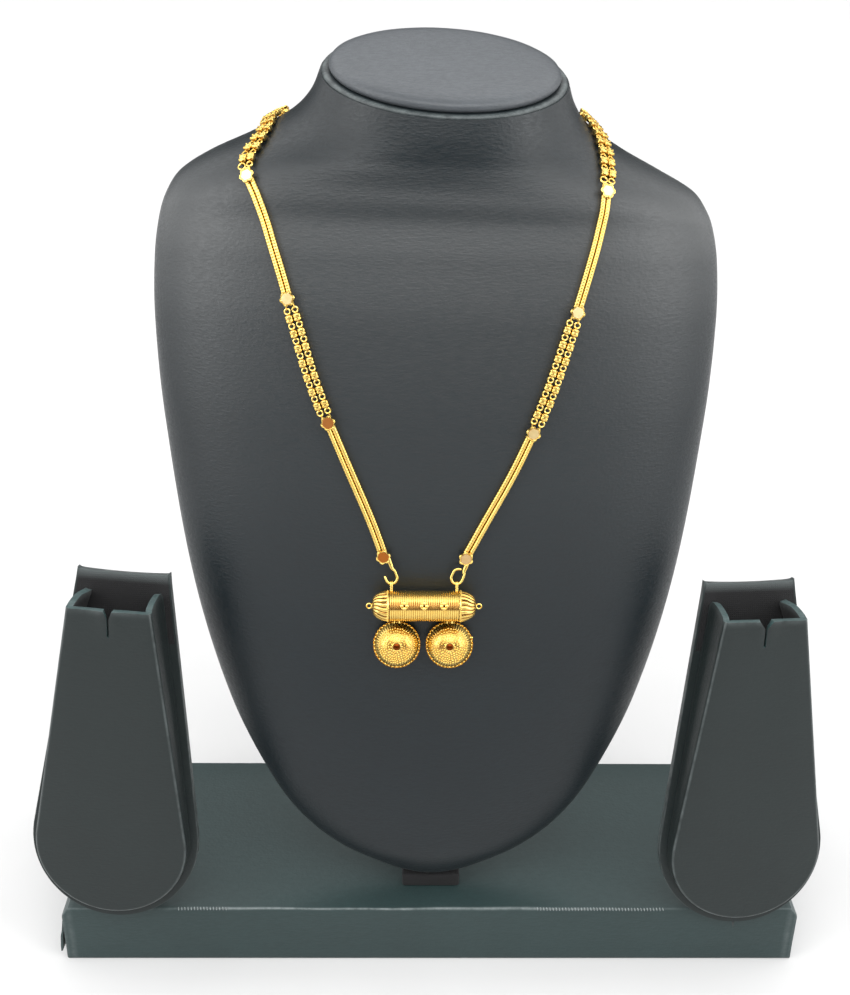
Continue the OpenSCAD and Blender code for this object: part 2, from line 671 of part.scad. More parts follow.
snake(right_at(3), right_at(2), -1);  // snake_right_high_inner
snake(right_at(1), right_at(0), 1);  // snake_right_low_outer
snake(right_at(1), right_at(0), -1);  // snake_right_low_inner
bead_strand(left_at(1), left_at(2), 1);  // beads_left_low_outer
bead_strand(left_at(1), left_at(2), -1);  // beads_left_low_inner
bead_strand(left_at(3), left_at(4), 1);  // beads_left_high_outer
bead_strand(left_at(3), left_at(4), -1);  // beads_left_high_inner
bead_strand(right_at(4), right_at(3), 1);  // beads_right_high_outer
bead_strand(right_at(4), right_at(3), -1);  // beads_right_high_inner
bead_strand(right_at(2), right_at(1), 1);  // beads_right_low_outer
bead_strand(right_at(2), right_at(1), -1);  // beads_right_low_inner
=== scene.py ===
import math

import bmesh
import bpy
import numpy as np
from mathutils import Matrix, Vector


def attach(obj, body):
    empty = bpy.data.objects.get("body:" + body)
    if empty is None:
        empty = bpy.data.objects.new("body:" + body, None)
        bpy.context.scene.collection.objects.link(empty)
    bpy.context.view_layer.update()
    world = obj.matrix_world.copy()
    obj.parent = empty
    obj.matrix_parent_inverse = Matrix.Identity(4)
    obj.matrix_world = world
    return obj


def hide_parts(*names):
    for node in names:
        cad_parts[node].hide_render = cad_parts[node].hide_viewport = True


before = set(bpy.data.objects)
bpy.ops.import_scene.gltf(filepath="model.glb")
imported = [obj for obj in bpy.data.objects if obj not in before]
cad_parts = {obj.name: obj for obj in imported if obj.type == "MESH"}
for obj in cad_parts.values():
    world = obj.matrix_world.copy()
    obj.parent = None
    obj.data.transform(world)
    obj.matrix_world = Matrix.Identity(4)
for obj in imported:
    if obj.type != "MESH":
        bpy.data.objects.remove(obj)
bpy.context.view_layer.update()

bl_info = {
    "name": "Mangalsutra on a neck bust",
    "version": (1, 0, 0),
    "blender": (4, 5, 0),
    "location": "3D View > Sidebar > Mangalsutra",
    "description": "Dresses the necklace, its neck bust and the board with two earring pockets",
    "category": "Add Mesh",
}

MM = 0.001
HANDS = ((-1, "left"), (1, "right"))

# The bust leans back about its lower tip, which stands in front of the board's middle.
BUST_LEAN = math.radians(14)
BUST_AT = np.array([0, -32, 35.5])

# Sections of the bust: height up the bust, half width, bulge to the front, depth to the back,
# squareness of the back, middle set back, tilt to the front, roll and shift to the right.
SECTIONS = np.array([
    [0, 3, 3, 3, 2, 0, 0, 0, 0],
    [1.2, 11, 6, 5, 2, 0, 0, 0, 0],
    [4, 20, 9, 7, 2.3, 0, 0, 0, 0],
    [13, 38.5, 14.5, 9, 3.5, 0, 0, 0, 0],
    [26, 54, 18.5, 10, 5, 0, 0, 0, 0],
    [44, 66.5, 22.5, 10, 6, 0, 0, 0, 0],
    [78, 82, 27, 10, 6, 0, 0, 0, 0],
    [128, 95.5, 32, 10, 6, 0, 0, 0, 0],
    [192, 104.5, 36.5, 10, 6, 0, 0, 0, 0],
    [230, 107, 37.5, 10, 6, 0, 0, 0.2, 0],
    [253, 106.2, 36.5, 10.5, 6, 0, 0.5, 0.7, 0],
    [267, 103.8, 35.5, 12.5, 5, 0, 2.5, 1.2, 0],
    [275, 100.5, 35, 15, 4.2, -0.5, 5, 1.6, 0],
    [282, 95, 34.3, 17.5, 3.6, -1, 8, 1.9, 0],
    [288.5, 83.5, 33.8, 20.5, 3.1, -1.7, 11.5, 2.1, -0.6],
    [295, 69, 33.4, 24.5, 2.7, -2.6, 16, 2.2, 0],
    [302.5, 55.5, 33.4, 29, 2.3, -3.8, 21.5, 2.3, 0.8],
    [310, 48.8, 33.8, 32.5, 2, -4.6, 26.5, 2.4, 1.6],
    [319.5, 45, 34.3, 33.8, 2, -5, 31, 2.6, 2.2]])
NECK_TOP = 319.49
RIM_R = 1.1

# The necklace's line round the bust: height up the bust, and angle round it to the viewer's right
ROUTE = np.array([
    [137.5, -10], [157, -13.5], [182, -19], [208, -24.5], [232, -28.5], [254.5, -33], [271.5, -38],
    [282.5, -45.5], [291, -58.5], [297.5, -78.5], [298.5, -99.5], [297, -128.5], [294.5, -158.5],
    [293.5, -186.5], [295.5, -206.5], [301.5, -244.5], [302.5, -263.5], [300.5, -278.5],
    [297.5, -292.5], [291.5, -308.5], [283.5, -320.5], [273.5, -325], [258, -328.5], [231, -333.5],
    [205, -338], [180, -343.5], [157, -350], [138, -355.5]])
ROUTE_STEPS = 10

# The five plates of each side, as lengths from that side's hook, and the runs between all ten, of
# which every other one is snake chain
LEFT_AT = [8, 62, 108.2, 153.3, 199.2]
RIGHT_AT = [7.5, 60.3, 106, 149.3, 195]
RUNS = ("left_low", "left_low", "left_high", "left_high", "nape", "right_high", "right_high",
        "right_low", "right_low")

REST_GAP = 0.3
BLOCK_HALF_LEN = 1.2
BLOCK_LOW = 0.35
BLOCK_TOP = 2.4
PLATE_THICK = 0.6
PLATE_EYE_AT = 3.25

# The pendant's place on the bust, and its pieces
PENDANT_LEVEL = 127.6
PENDANT_X = -4.3
PENDANT_TIP = math.radians(4.8)
BARREL_R = 5.75
BARREL_LIFT = 0.5 + BARREL_R
BARREL_HALF = 12.8
RIB_H = 0.22
RIB_PITCH = 0.8
RIBS = 32
CAP_LEN = 6.4
FLOWER_UP = math.radians(21.5)
FLOWER_PITCH = 7.3
BAIL_X = 12.1
BAIL_BACK = math.radians(15)
BAIL_R = 1
BAIL_WIRE = 0.36
BAIL_TOP = 8.2
HOOK_R = 2.1
HOOK_RISE = 1.5
HOOK_SIDE = math.radians(42)
HOOK_WIRE = 0.45
CUP_SHIFT = -0.2
CUP_PITCH = 19.8
CUP_R = 8.85
CUP_H = 5.6
GRANULE_PITCH = 0.88
DOME_HALF = 8.65
DOME_LOW = 0.4
CUP_REACH = 11.1
CUP_TILT = math.radians(14)
CUP_BACK = 1.25
LINK_LOW = 4.6
LINK_BACK = 4.4
LINK_EYE_R = 0.9
LINK_EYE_WIRE = 0.25

# The board's half length, half depth and height
BOARD_HALF, BOARD_DEEP, BOARD_HIGH = 152.5, 48.0, 28.0

# The length of a pocket's panel, and how high on it the front starts and how long the front is
PANEL_LEN = 144
POCKET_LOW, POCKET_LEN = 3.0, 131


def srgb(value):
    """The three sRGB parts of a hex colour."""
    return [int(value[k:k + 2], 16) / 255 for k in (1, 3, 5)]


def length(name, description, default):
    return bpy.props.FloatProperty(name=name, description=description, default=default, unit="LENGTH")


def colour(name, description, value):
    return bpy.props.FloatVectorProperty(name=name, description=description, subtype="COLOR_GAMMA",
                                         size=3, default=srgb(value))


class StandSizes(bpy.types.PropertyGroup):
    grain: length("Grain", "Spacing of the embossed grain", 0.0011)
    leatherette: colour("Leatherette", "Colour of the coated cloth", "#051116")
    # The pad's grey, far paler than the bust's cloth, is painted light from above on the same leatherette
    pad: colour("Pad", "Colour of the coated cloth on the neck pad", "#45494d")
    board: colour("Board and pockets", "Colour of the coated cloth on the board and the pockets", "#223232")
    # The worn edge colour serves both rubbed edges and painted highlights along edges
    worn_and_sheen: colour("Worn edge", "Colour of rubbed edges", "#6b7373")
    # The lining's near black is deepened as painted shade, so that the pockets' insides and the foot under
    # the bust's tip read as shadow
    lining: colour("Lining", "Colour of the lining cloth", "#08080a")


class NecklaceSizes(bpy.types.PropertyGroup):
    snake: length("Snake chain", "Diameter of a snake chain strand", 0.0018)
    snake_pitch: length("Snake spacing", "Spacing of the two snake strands", 0.00195)
    link: length("Link", "Length of one woven link", 0.0011)
    bead: length("Bead", "Diameter of a bead", 0.0025)
    strand_pitch: length("Bead spacing", "Spacing of the two bead strands", 0.003)
    beads: bpy.props.IntProperty(name="Beads", description="Beads on a strand between two plates",
                                 default=7, min=7, max=7)
    gold: colour("Gold", "Colour of the polished gold", "#f2d780")
    # The brown in the gold's grooves is dirt and painted shade
    shade: colour("Gold in grooves", "Colour of the gold where dirt and shade sit", "#75360a")
    mirror: colour("Plate mirror", "Colour of the flat centres of the plates", "#faf0bd")


# Points, frames and surfaces

def unit(v):
    return v / np.linalg.norm(v, axis=-1, keepdims=True)


def turn_x(angle):
    c, s = math.cos(angle), math.sin(angle)
    return np.array([[1, 0, 0], [0, c, -s], [0, s, c]])


def turn_z(angle):
    c, s = math.cos(angle), math.sin(angle)
    return np.array([[c, -s, 0], [s, c, 0], [0, 0, 1]])


def angles(count):
    """Even angles round a circle."""
    return np.arange(count) * 2 * math.pi / count


def circle(r, a, z=0.0):
    """Points round Z at a radius, angles and a height, any of them one number or many."""
    return np.stack(np.broadcast_arrays(r * np.cos(a), r * np.sin(a), z), -1)


def squared(v, power):
    """A sine or cosine drawn nearer to a square's."""
    return np.sign(v) * np.abs(v) ** power


def from_bust(points):
    """Points of the bust's own frame, in the frame of the base board."""
    return points @ turn_x(-BUST_LEAN).T + BUST_AT


def section(level):
    """The table's row at a height, by the smooth cubic that the solid uses."""
    last = len(SECTIONS) - 1
    i = int(np.clip(np.searchsorted(SECTIONS[:, 0], level, side="right") - 1, 0, last - 1))

    def slope(k):
        below, above = SECTIONS[max(k - 1, 0)], SECTIONS[min(k + 1, last)]
        return (above - below) / (above[0] - below[0])

    a, b = SECTIONS[i], SECTIONS[i + 1]
    span = b[0] - a[0]
    t = (level - a[0]) / span
    return (a * (2 * t ** 3 - 3 * t ** 2 + 1) + slope(i) * span * (t ** 3 - 2 * t ** 2 + t)
            + b * (3 * t ** 2 - 2 * t ** 3) + slope(i + 1) * span * (t ** 3 - t ** 2))


def in_section(s, level, x, depth, lift=0.0):
    """Points in the plane of section s: x to the right, depth to the back, lifted off the plane."""
    tilt, roll = math.radians(s[6]), math.radians(s[7])
    x, depth, lift = np.broadcast_arrays(x, depth, lift)
    return np.stack([
        s[8] + x * math.cos(roll) + lift * math.sin(roll),
        s[5] + depth * math.cos(tilt) - lift * math.sin(tilt),
        level + depth * math.sin(tilt) - x * math.sin(roll) + lift * math.cos(tilt)], -1)


def skin(level, turn, inset=0.0, lift=0.0):
    """The bust's skin at a height, for one angle or many in degrees."""
    s = section(level)
    a = np.radians(turn)
    back = (s[3] - inset) * np.maximum(1 - np.abs(np.sin(a)) ** s[4], 0) ** (1 / s[4])
    depth = np.where(np.cos(a) >= 0, -(s[2] - inset) * np.cos(a), back)
    return in_section(s, level, (s[1] - inset) * np.sin(a), depth, lift)


def skin_out(level, turn):
    """The way straight off the skin."""
    return unit(np.cross(skin(level, turn + 0.2) - skin(level, turn - 0.2),
                         skin(level + 0.2, turn) - skin(level - 0.2, turn)))


def route_table():
    """Length, height and angle at fine steps along the necklace's line."""
    rows, last = [], len(ROUTE) - 1
    for i in range(last):
        a, b, c, d = ROUTE[max(i - 1, 0)], ROUTE[i], ROUTE[i + 1], ROUTE[min(i + 2, last)]
        for t in np.arange(ROUTE_STEPS) / ROUTE_STEPS:
            rows.append((2 * b + (c - a) * t + (2 * a - 5 * b + 4 * c - d) * t ** 2
                         + (3 * b - a - 3 * c + d) * t ** 3) / 2)
    rows = np.array(rows + [ROUTE[last]])
    points = np.array([skin(*row) for row in rows])
    lengths = np.r_[0, np.cumsum(np.linalg.norm(np.diff(points, axis=0), axis=1))]
    return np.c_[lengths, rows]


ALONG = route_table()
STOPS = np.r_[LEFT_AT, ALONG[-1, 0] - np.array(RIGHT_AT)[::-1]]


def on_route(s):
    """Height and angle at a length along the route."""
    return np.interp(s, ALONG[:, 0], ALONG[:, 1]), np.interp(s, ALONG[:, 0], ALONG[:, 2])


def route_frame(s, lift=0.0, aside=0.0):
    """Way ahead, way to the loop's outer side, way off the bust, and the point itself."""
    out = skin_out(*on_route(s))
    d = skin(*on_route(s + 0.5)) - skin(*on_route(s - 0.5))
    ahead = unit(d - out * (d @ out))
    beside = np.cross(out, ahead)
    return np.array([ahead, beside, out, skin(*on_route(s)) + out * lift + beside * aside])


class Strand:
    """A strand beside the route, with its own length and smooth frames along it."""

    def __init__(self, s0, s1, lift, aside, step=0.5):
        self.route = np.linspace(s0, s1, max(int((s1 - s0) / step), 2) + 1)
        self.frames = np.array([route_frame(s, lift, aside) for s in self.route])
        step_len = np.linalg.norm(np.diff(self.frames[:, 3], axis=0), axis=1)
        self.own = np.r_[0, np.cumsum(step_len)]
        self.length = self.own[-1]

    def at(self, lengths, part):
        return np.stack([np.interp(lengths, self.own, self.frames[:, part, k]) for k in range(3)], -1)

    def route_at(self, far):
        return float(np.interp(far, self.own, self.route))


def pendant_axes():
    """The barrel's way right, up and off the bust, and the point of the skin behind its middle."""
    c, s = math.cos(PENDANT_TIP), math.sin(PENDANT_TIP)
    base = skin(PENDANT_LEVEL, math.degrees(math.asin(PENDANT_X / section(PENDANT_LEVEL)[1])))
    return np.array([[1, 0, 0], [0, -s, c], [0, -c, -s], base])


def leaned(axes, angle):
    """A frame's way up and way out, leaned in to the bust by an angle."""
    c, s = math.cos(angle), math.sin(angle)
    return axes[1] * c - axes[2] * s, axes[2] * c + axes[1] * s


PENDANT = pendant_axes()
LEAN_UP, LEAN_OUT = leaned(PENDANT, BAIL_BACK)

# A frame whose Z lies along X
ALONG_X = np.array([[0, 0, -1], [0, 1, 0], [1, 0, 0], [0, 0, 0]], float)


def placed(points, axes):
    """Points given in a frame of three axes and an origin, in the bust's frame."""
    return points @ axes[:3] + axes[3]


def pendant_frame(x=0.0, up=0.0, out=0.0):
    return np.vstack([PENDANT[:3], PENDANT[3] + PENDANT[0] * x + PENDANT[1] * up + PENDANT[2] * out])


# Meshes

class Form:
    """Points in millimetres, faces, a shade for each point, and a finish number for each face."""

    def __init__(self):
        self.points, self.faces, self.shade, self.finish, self.count = [], [], [], [], 0

    def add(self, points, faces, shade=0.0, finish=0):
        points = np.asarray(points, float).reshape(-1, 3)
        self.points.append(points)
        self.shade.append(np.broadcast_to(np.asarray(shade, float).reshape(-1), (len(points),)).copy())
        self.faces += [tuple(int(k) + self.count for k in f) for f in faces]
        self.finish += [finish] * len(faces)
        self.count += len(points)

    def put(self, other, axes):
        """Adds another form's points, placed in a frame."""
        base = self.count
        for points, shade in zip(other.points, other.shade):
            self.points.append(placed(points, axes))
            self.shade.append(shade)
        self.faces += [tuple(k + base for k in f) for f in other.faces]
        self.finish += other.finish
        self.count += other.count

    def moved(self, axes):
        """This form, placed in a frame."""
        whole = Form()
        whole.put(self, axes)
        return whole


def grid_faces(rows, cols, around=True):
    """Faces between rows of points. Where the rows run around, their last point joins their first."""
    sides = [(i * cols + j, i * cols + (j + 1) % cols)
             for i in range(rows - 1) for j in range(cols if around else cols - 1)]
    return [(a, b, b + cols, a + cols) for a, b in sides]


def loft(form, rings, shade=0.0, finish=0, caps=True):
    """A skin through rings of points that run counterclockwise seen from the last ring's side."""
    rings = np.asarray(rings, float)
    count, sides = rings.shape[:2]
    faces = grid_faces(count, sides)
    if caps:
        faces += [tuple(range(sides - 1, -1, -1)), tuple((count - 1) * sides + j for j in range(sides))]
    if np.ndim(shade) == 1 and len(shade) == count:
        shade = np.repeat(shade, sides)
    form.add(rings, faces, shade, finish)


def turned(form, profile, sides, shade=None, finish=0, wave=1.0):
    """A profile of rows of radius, height and shade, turned round Z. wave scales each radius."""
    profile = np.asarray(profile, float)
    rings = circle(profile[:, :1] * wave, angles(sides), profile[:, 1:2])
    loft(form, rings, profile[:, 2] if shade is None else shade, finish)


def tube(form, centres, radius, sides, closed=False, shade=0.0, around=(0, 0, 1)):
    """A round wire along centres. around is a way that the wire's turning never lies along."""
    c = np.asarray(centres, float)
    ahead = unit(np.roll(c, -1, 0) - np.roll(c, 1, 0)) if closed else unit(np.gradient(c, axis=0))
    side = unit(np.cross(ahead, np.asarray(around, float)))
    up = np.cross(side, ahead)
    a = angles(sides)[:, None]
    r = np.broadcast_to(np.asarray(radius, float).reshape(-1, 1, 1), (len(c), 1, 1))
    rings = c[:, None] + r * (side[:, None] * np.cos(a) + up[:, None] * np.sin(a))
    faces = [f[::-1] for f in grid_faces(len(c) + closed, sides)]
    if closed:
        faces = [tuple(k % (len(c) * sides) for k in f) for f in faces]
    else:
        faces += [tuple(range(sides)), tuple((len(c) - 1) * sides + j for j in range(sides - 1, -1, -1))]
    form.add(rings, faces, shade)


def ring(form, r, wire, axes, steps=24):
    """A ring of wire round Z of a frame."""
    part = Form()
    tube(part, circle(r, angles(steps)), wire, 8, True)
    form.put(part, axes)


def strap(form, centres, wide, thick):
    """A strap or wire along centres in the XY plane, of many widths and thicknesses, closed at its ends."""
    out = np.array([0, 0, 1.0])
    across = np.cross(out, unit(np.gradient(centres, axis=0)))[:, None]
    a = angles(12)[:, None]
    loft(form, centres[:, None] + across * wide[:, None, None] * np.cos(a)
         + out * thick[:, None, None] * np.sin(a))


def ball(form, centre, r, flat=1.0, rings=5, sides=8, shade=0.0, finish=0, low=-90):
    """A small round granule, or its part above a latitude."""
    lat = np.linspace(low, 90, rings + 2)[1:-1] if low <= -90 else np.linspace(low, 90, rings + 1)[:-1]
    lat = np.radians(lat)[:, None]
    grid = circle(np.cos(lat), angles(sides), np.sin(lat) * flat) * r
    poles = [[0, 0, r * flat], [0, 0, r * flat * math.sin(math.radians(low))]]
    points = np.vstack([grid.reshape(-1, 3), poles])
    faces = grid_faces(len(lat), sides)
    top, bottom, last = len(points) - 2, len(points) - 1, (len(lat) - 1) * sides
    faces += [(last + j, last + (j + 1) % sides, top) for j in range(sides)]
    faces += [((j + 1) % sides, j, bottom) for j in range(sides)]
    form.add(points + np.asarray(centre, float), faces, shade, finish)


def balls_round(form, count, far, z, r, *look, start=0.0, **more):
    """Equal granules evenly round Z."""
    for x, y, up in circle(far, angles(count) + start, z):
        ball(form, (x, y, up), r, *look, **more)


def merged(obj):
    """Joins points that lie together, and drops what has no area left."""
    apart = 0.00001
    work = bmesh.new()
    work.from_mesh(obj.data)
    bmesh.ops.remove_doubles(work, verts=work.verts, dist=apart)
    bmesh.ops.dissolve_degenerate(work, edges=work.edges, dist=apart / 2)
    bmesh.ops.recalc_face_normals(work, faces=work.faces)
    work.to_mesh(obj.data)
    work.free()


def worked(obj, modifiers):
    """Adds modifiers with their settings and turns the result into the object's own mesh."""
    for kind, settings in modifiers:
        modifier = obj.modifiers.new(kind.title(), kind)
        for key, value in settings.items():
            setattr(modifier, key, value)
    depsgraph = bpy.context.evaluated_depsgraph_get()
    mesh = bpy.data.meshes.new_from_object(obj.evaluated_get(depsgraph))
    obj.modifiers.clear()
    old, obj.data = obj.data, mesh
    bpy.data.meshes.remove(old)
    mesh.name = obj.name


def bevel(width, above=30):
    """Rounds edges that are sharper than an angle in degrees."""
    return "BEVEL", {"width": width, "segments": 3, "limit_method": "ANGLE",
                     "angle_limit": math.radians(above)}


def sheet(thickness, **more):
    """Gives a surface its thickness, inwards."""
    return "SOLIDIFY", {"thickness": thickness, "offset": -1.0, **more}


def piece(name, form, finishes, replaces=(), smooth_to=40, in_bust=True, merge=False, work=()):
    """One named object of a form: it rides on the stand and takes the place of its solids."""
    mesh = bpy.data.meshes.new(name)
    points = np.vstack(form.points)
    points = (from_bust(points) if in_bust else points) * MM
    mesh.from_pydata(points.tolist(), [], form.faces)
    shade = mesh.attributes.new("shade", "FLOAT", "POINT")
    shade.data.foreach_set("value", np.concatenate(form.shade).astype(np.float32))
    for finish in finishes:
        mesh.materials.append(finish)
    mesh.polygons.foreach_set("material_index", np.array(form.finish, np.int32))
    mesh.validate()
    mesh.update()
    obj = bpy.data.objects.new(name, mesh)
    bpy.context.scene.collection.objects.link(obj)
    if merge:
        merged(obj)
    if work:
        worked(obj, work)
    obj.data.polygons.foreach_set("use_smooth", np.ones(len(obj.data.polygons), bool))
    if smooth_to < 180:
        obj.data.set_sharp_from_angle(angle=math.radians(smooth_to))
    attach(obj, "root")
    if replaces:
        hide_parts(*replaces)
    return obj


# Materials

def linear(colour, times=(1, 1, 1)):
    """A hex value or a colour of sRGB parts as linear light, each part times a factor."""
    parts = srgb(colour) if isinstance(colour, str) else colour
    light = [c / 12.92 if c <= 0.04045 else ((c + 0.055) / 1.055) ** 2.4 for c in parts]
    return tuple(c * k for c, k in zip(light, times)) + (1.0,)


def fill(made, settings):
    """Sets a node's attributes and sockets. A value that is another node's output is linked."""
    for key, value in settings.items():
        if isinstance(key, str) and key not in made.inputs.keys():
            setattr(made, key, value)
        elif isinstance(value, bpy.types.NodeSocket):
            made.id_data.links.new(value, made.inputs[key])
        else:
            made.inputs[key].default_value = value


def node(tree, kind, settings=None, out=0):
    """Adds a node with its settings and links, and gives one of its outputs."""
    made = tree.nodes.new(kind)
    fill(made, settings or {})
    return made.outputs[out]


def material(name):
    """An empty material with its shader and the place on the object in millimetres."""
    made = bpy.data.materials.new(name)
    made.use_nodes = True
    tree = made.node_tree
    place = node(tree, "ShaderNodeTexCoord", out="Object")
    in_mm = node(tree, "ShaderNodeVectorMath", {"operation": "SCALE", "Scale": 1 / MM, 0: place})
    return made, tree, tree.nodes["Principled BSDF"], in_mm


def leatherette(name, colour, worn_and_sheen, grain, rough=0.39, streak=0.3, top_light=0.0):
    """Cloth coated with polyurethane and embossed with a fine grain. The eye sees a soft grey gloss on
    near black, fine lines across, and pale edges: rubbed wear in places, and a painted highlight in others."""
    made, tree, shader, at = material(name)
    flat = node(tree, "ShaderNodeVectorMath", {"operation": "MULTIPLY", 0: at, 1: (0.22, 0.5, 1.0)})
    lines = node(tree, "ShaderNodeTexNoise", {
        "Vector": flat, "Scale": 1.5 / grain, "Detail": 4.0, "Roughness": 0.62})
    pores = node(tree, "ShaderNodeTexVoronoi", {"Vector": at, "Scale": 0.8 / grain})
    cloud = node(tree, "ShaderNodeTexNoise", {"Vector": at, "Scale": 1 / 38, "Detail": 3.0})
    height = node(tree, "ShaderNodeMath", {"operation": "MULTIPLY_ADD", 0: pores, 1: 0.35, 2: lines})
    base = node(tree, "ShaderNodeMix", {"data_type": "RGBA", 0: cloud, 6: linear(colour, 3 * [0.82]),
                                        7: linear(colour, 3 * [1.2])}, 2)
    fine = node(tree, "ShaderNodeMapRange", {"Value": lines, "From Min": 0.36, "From Max": 0.64})
    hollow = node(tree, "ShaderNodeMapRange", {"Value": fine, "To Min": streak, "To Max": 0.0})
    base = node(tree, "ShaderNodeMix", {"data_type": "RGBA", 0: hollow, 6: base, 7: linear("#07080a")}, 2)
    # The pale marks on folds and edges, rubbed wear and painted highlights, show as spots, not as an even
    # band
    shade = node(tree, "ShaderNodeAttribute", {"attribute_name": "shade"}, "Fac")
    scuff = node(tree, "ShaderNodeTexNoise", {"Vector": at, "Scale": 1 / 5, "Detail": 5.0, "Roughness": 0.7})
    pale_mark = node(tree, "ShaderNodeMath", {"operation": "MULTIPLY_ADD", 0: scuff, 1: 2.2, 2: -0.55})
    pale_here = node(tree, "ShaderNodeMath", {"operation": "MULTIPLY", "use_clamp": True, 0: shade, 1: pale_mark})
    base = node(tree, "ShaderNodeMix", {"data_type": "RGBA", 0: pale_here, 6: base, 7: linear(worn_and_sheen)}, 2)
    # Painted light from above: the upper parts, where the cover looks up, are mixed towards pale grey
    facing = node(tree, "ShaderNodeTexCoord", out="Normal")
    up = node(tree, "ShaderNodeSeparateXYZ", {0: facing}, "Z")
    high = node(tree, "ShaderNodeSeparateXYZ", {0: at}, "Z")
    painted_top_light = node(tree, "ShaderNodeMapRange", {"Value": up, "From Min": 0.12, "From Max": 0.4})
    for low, top, most in ((110.0, 210.0, top_light), (322.0, 300.0, 1.0)):
        here = node(tree, "ShaderNodeMapRange", {
            "Value": high, "From Min": low, "From Max": top, "To Max": most})
        painted_top_light = node(tree, "ShaderNodeMath", {"operation": "MULTIPLY", 0: painted_top_light, 1: here})
    base = node(tree, "ShaderNodeMix", {"data_type": "RGBA", 0: painted_top_light, 6: base, 7: linear("#797a7a")}, 2)
    gloss = node(tree, "ShaderNodeMapRange", {"Value": fine, "To Min": rough + 0.3 * streak,
                                              "To Max": rough - 0.2 * streak})
    bump = node(tree, "ShaderNodeBump", {"Height": height, "Strength": 0.6, "Distance": 0.0002})
    fill(shader, {"Base Color": base, "Roughness": gloss, "Normal": bump, "IOR": 1.45, "Sheen Weight": 0.02,
                  "Sheen Roughness": 0.4})
    return made


def cloth_lining(name, colour, worn_and_sheen, thread=0.4):
    """Dull woven lining cloth glued on board. The eye sees no gloss, crossed threads and loose fluff."""
    made, tree, shader, at = material(name)
    across, up = [node(tree, "ShaderNodeTexWave", {
        "Vector": at, "Scale": 0.16 / thread, "bands_direction": way, "Distortion": 1.2,
        "Detail": 1.0}, "Fac") for way in ("X", "Z")]
    weave = node(tree, "ShaderNodeMath", {"operation": "MAXIMUM", 0: across, 1: up})
    fluff = node(tree, "ShaderNodeTexNoise", {"Vector": at, "Scale": 1 / 2.5, "Detail": 6.0})
    base = node(tree, "ShaderNodeMix", {"data_type": "RGBA", 0: fluff, 6: linear(colour, 3 * [0.6]),
                                        7: linear(colour, 3 * [1.5])}, 2)
    shade = node(tree, "ShaderNodeAttribute", {"attribute_name": "shade"}, "Fac")
    base = node(tree, "ShaderNodeMix", {"data_type": "RGBA", 0: shade, 6: base, 7: linear(worn_and_sheen)}, 2)
    bump = node(tree, "ShaderNodeBump", {"Height": weave, "Strength": 0.5, "Distance": 0.0002})
    fill(shader, {"Base Color": base, "Normal": bump, "Roughness": 0.9, "Sheen Weight": 0.03})
    return made


def sewing_thread(name, colour, twist=0.5):
    """Twisted polyester thread. The eye sees a soft sheen and slanted plies."""
    made, tree, shader, at = material(name)
    plies = node(tree, "ShaderNodeTexWave", {
        "Vector": at, "Scale": 0.16 / twist, "bands_direction": "DIAGONAL"}, "Fac")
    base = node(tree, "ShaderNodeMix", {"data_type": "RGBA", 0: plies, 6: linear(colour),
                                        7: linear(colour, 3 * [1.5])}, 2)
    bump = node(tree, "ShaderNodeBump", {"Height": plies, "Strength": 0.4, "Distance": 0.0001})
    fill(shader, {"Base Color": base, "Normal": bump, "Roughness": 0.6, "Sheen Weight": 0.2})
    return made


def polished_gold(name, colour, groove, rough=0.2, hammer=0.12, spot=0.8):
    """Gold of 22 carat, cast or drawn and then polished. The eye sees a yellow mirror that is broken by
    tiny dents, and brown in the grooves where the polish doesn't reach: dirt there, and painted shade."""
    made, tree, shader, at = material(name)
    shade = node(tree, "ShaderNodeAttribute", {"attribute_name": "shade"}, "Fac")
    dents = node(tree, "ShaderNodeTexNoise", {"Vector": at, "Scale": 1 / spot, "Detail": 3.0})
    stain_and_reflection = node(tree, "ShaderNodeTexNoise", {"Vector": at, "Scale": 1 / 2.2, "Detail": 2.0})
    base = node(tree, "ShaderNodeMix", {"data_type": "RGBA", 0: stain_and_reflection, 6: linear(colour, (0.95, 0.8, 0.55)),
                                        7: linear(colour)}, 2)
    base = node(tree, "ShaderNodeMix", {"data_type": "RGBA", 0: shade, 6: base, 7: linear(groove)}, 2)
    gloss = node(tree, "ShaderNodeMapRange", {"Value": dents, "To Min": rough - 0.06, "To Max": rough + 0.1})
    bump = node(tree, "ShaderNodeBump", {"Height": dents, "Strength": hammer, "Distance": 0.0001})
    fill(shader, {"Base Color": base, "Roughness": gloss, "Normal": bump, "Metallic": 1.0})
    return made


def matt_paper(name):
    """Pale matt paper. The eye sees a white ground with soft shade."""
    made, tree, shader, at = material(name)
    fibre = node(tree, "ShaderNodeTexNoise", {"Vector": at, "Scale": 1 / 60, "Detail": 2.0})
    base = node(tree, "ShaderNodeMix", {"data_type": "RGBA", 0: fibre, 6: linear("#bebebe"),
                                        7: linear("#c4c4c4")}, 2)
    fill(shader, {"Base Color": base, "Roughness": 0.8})
    return made


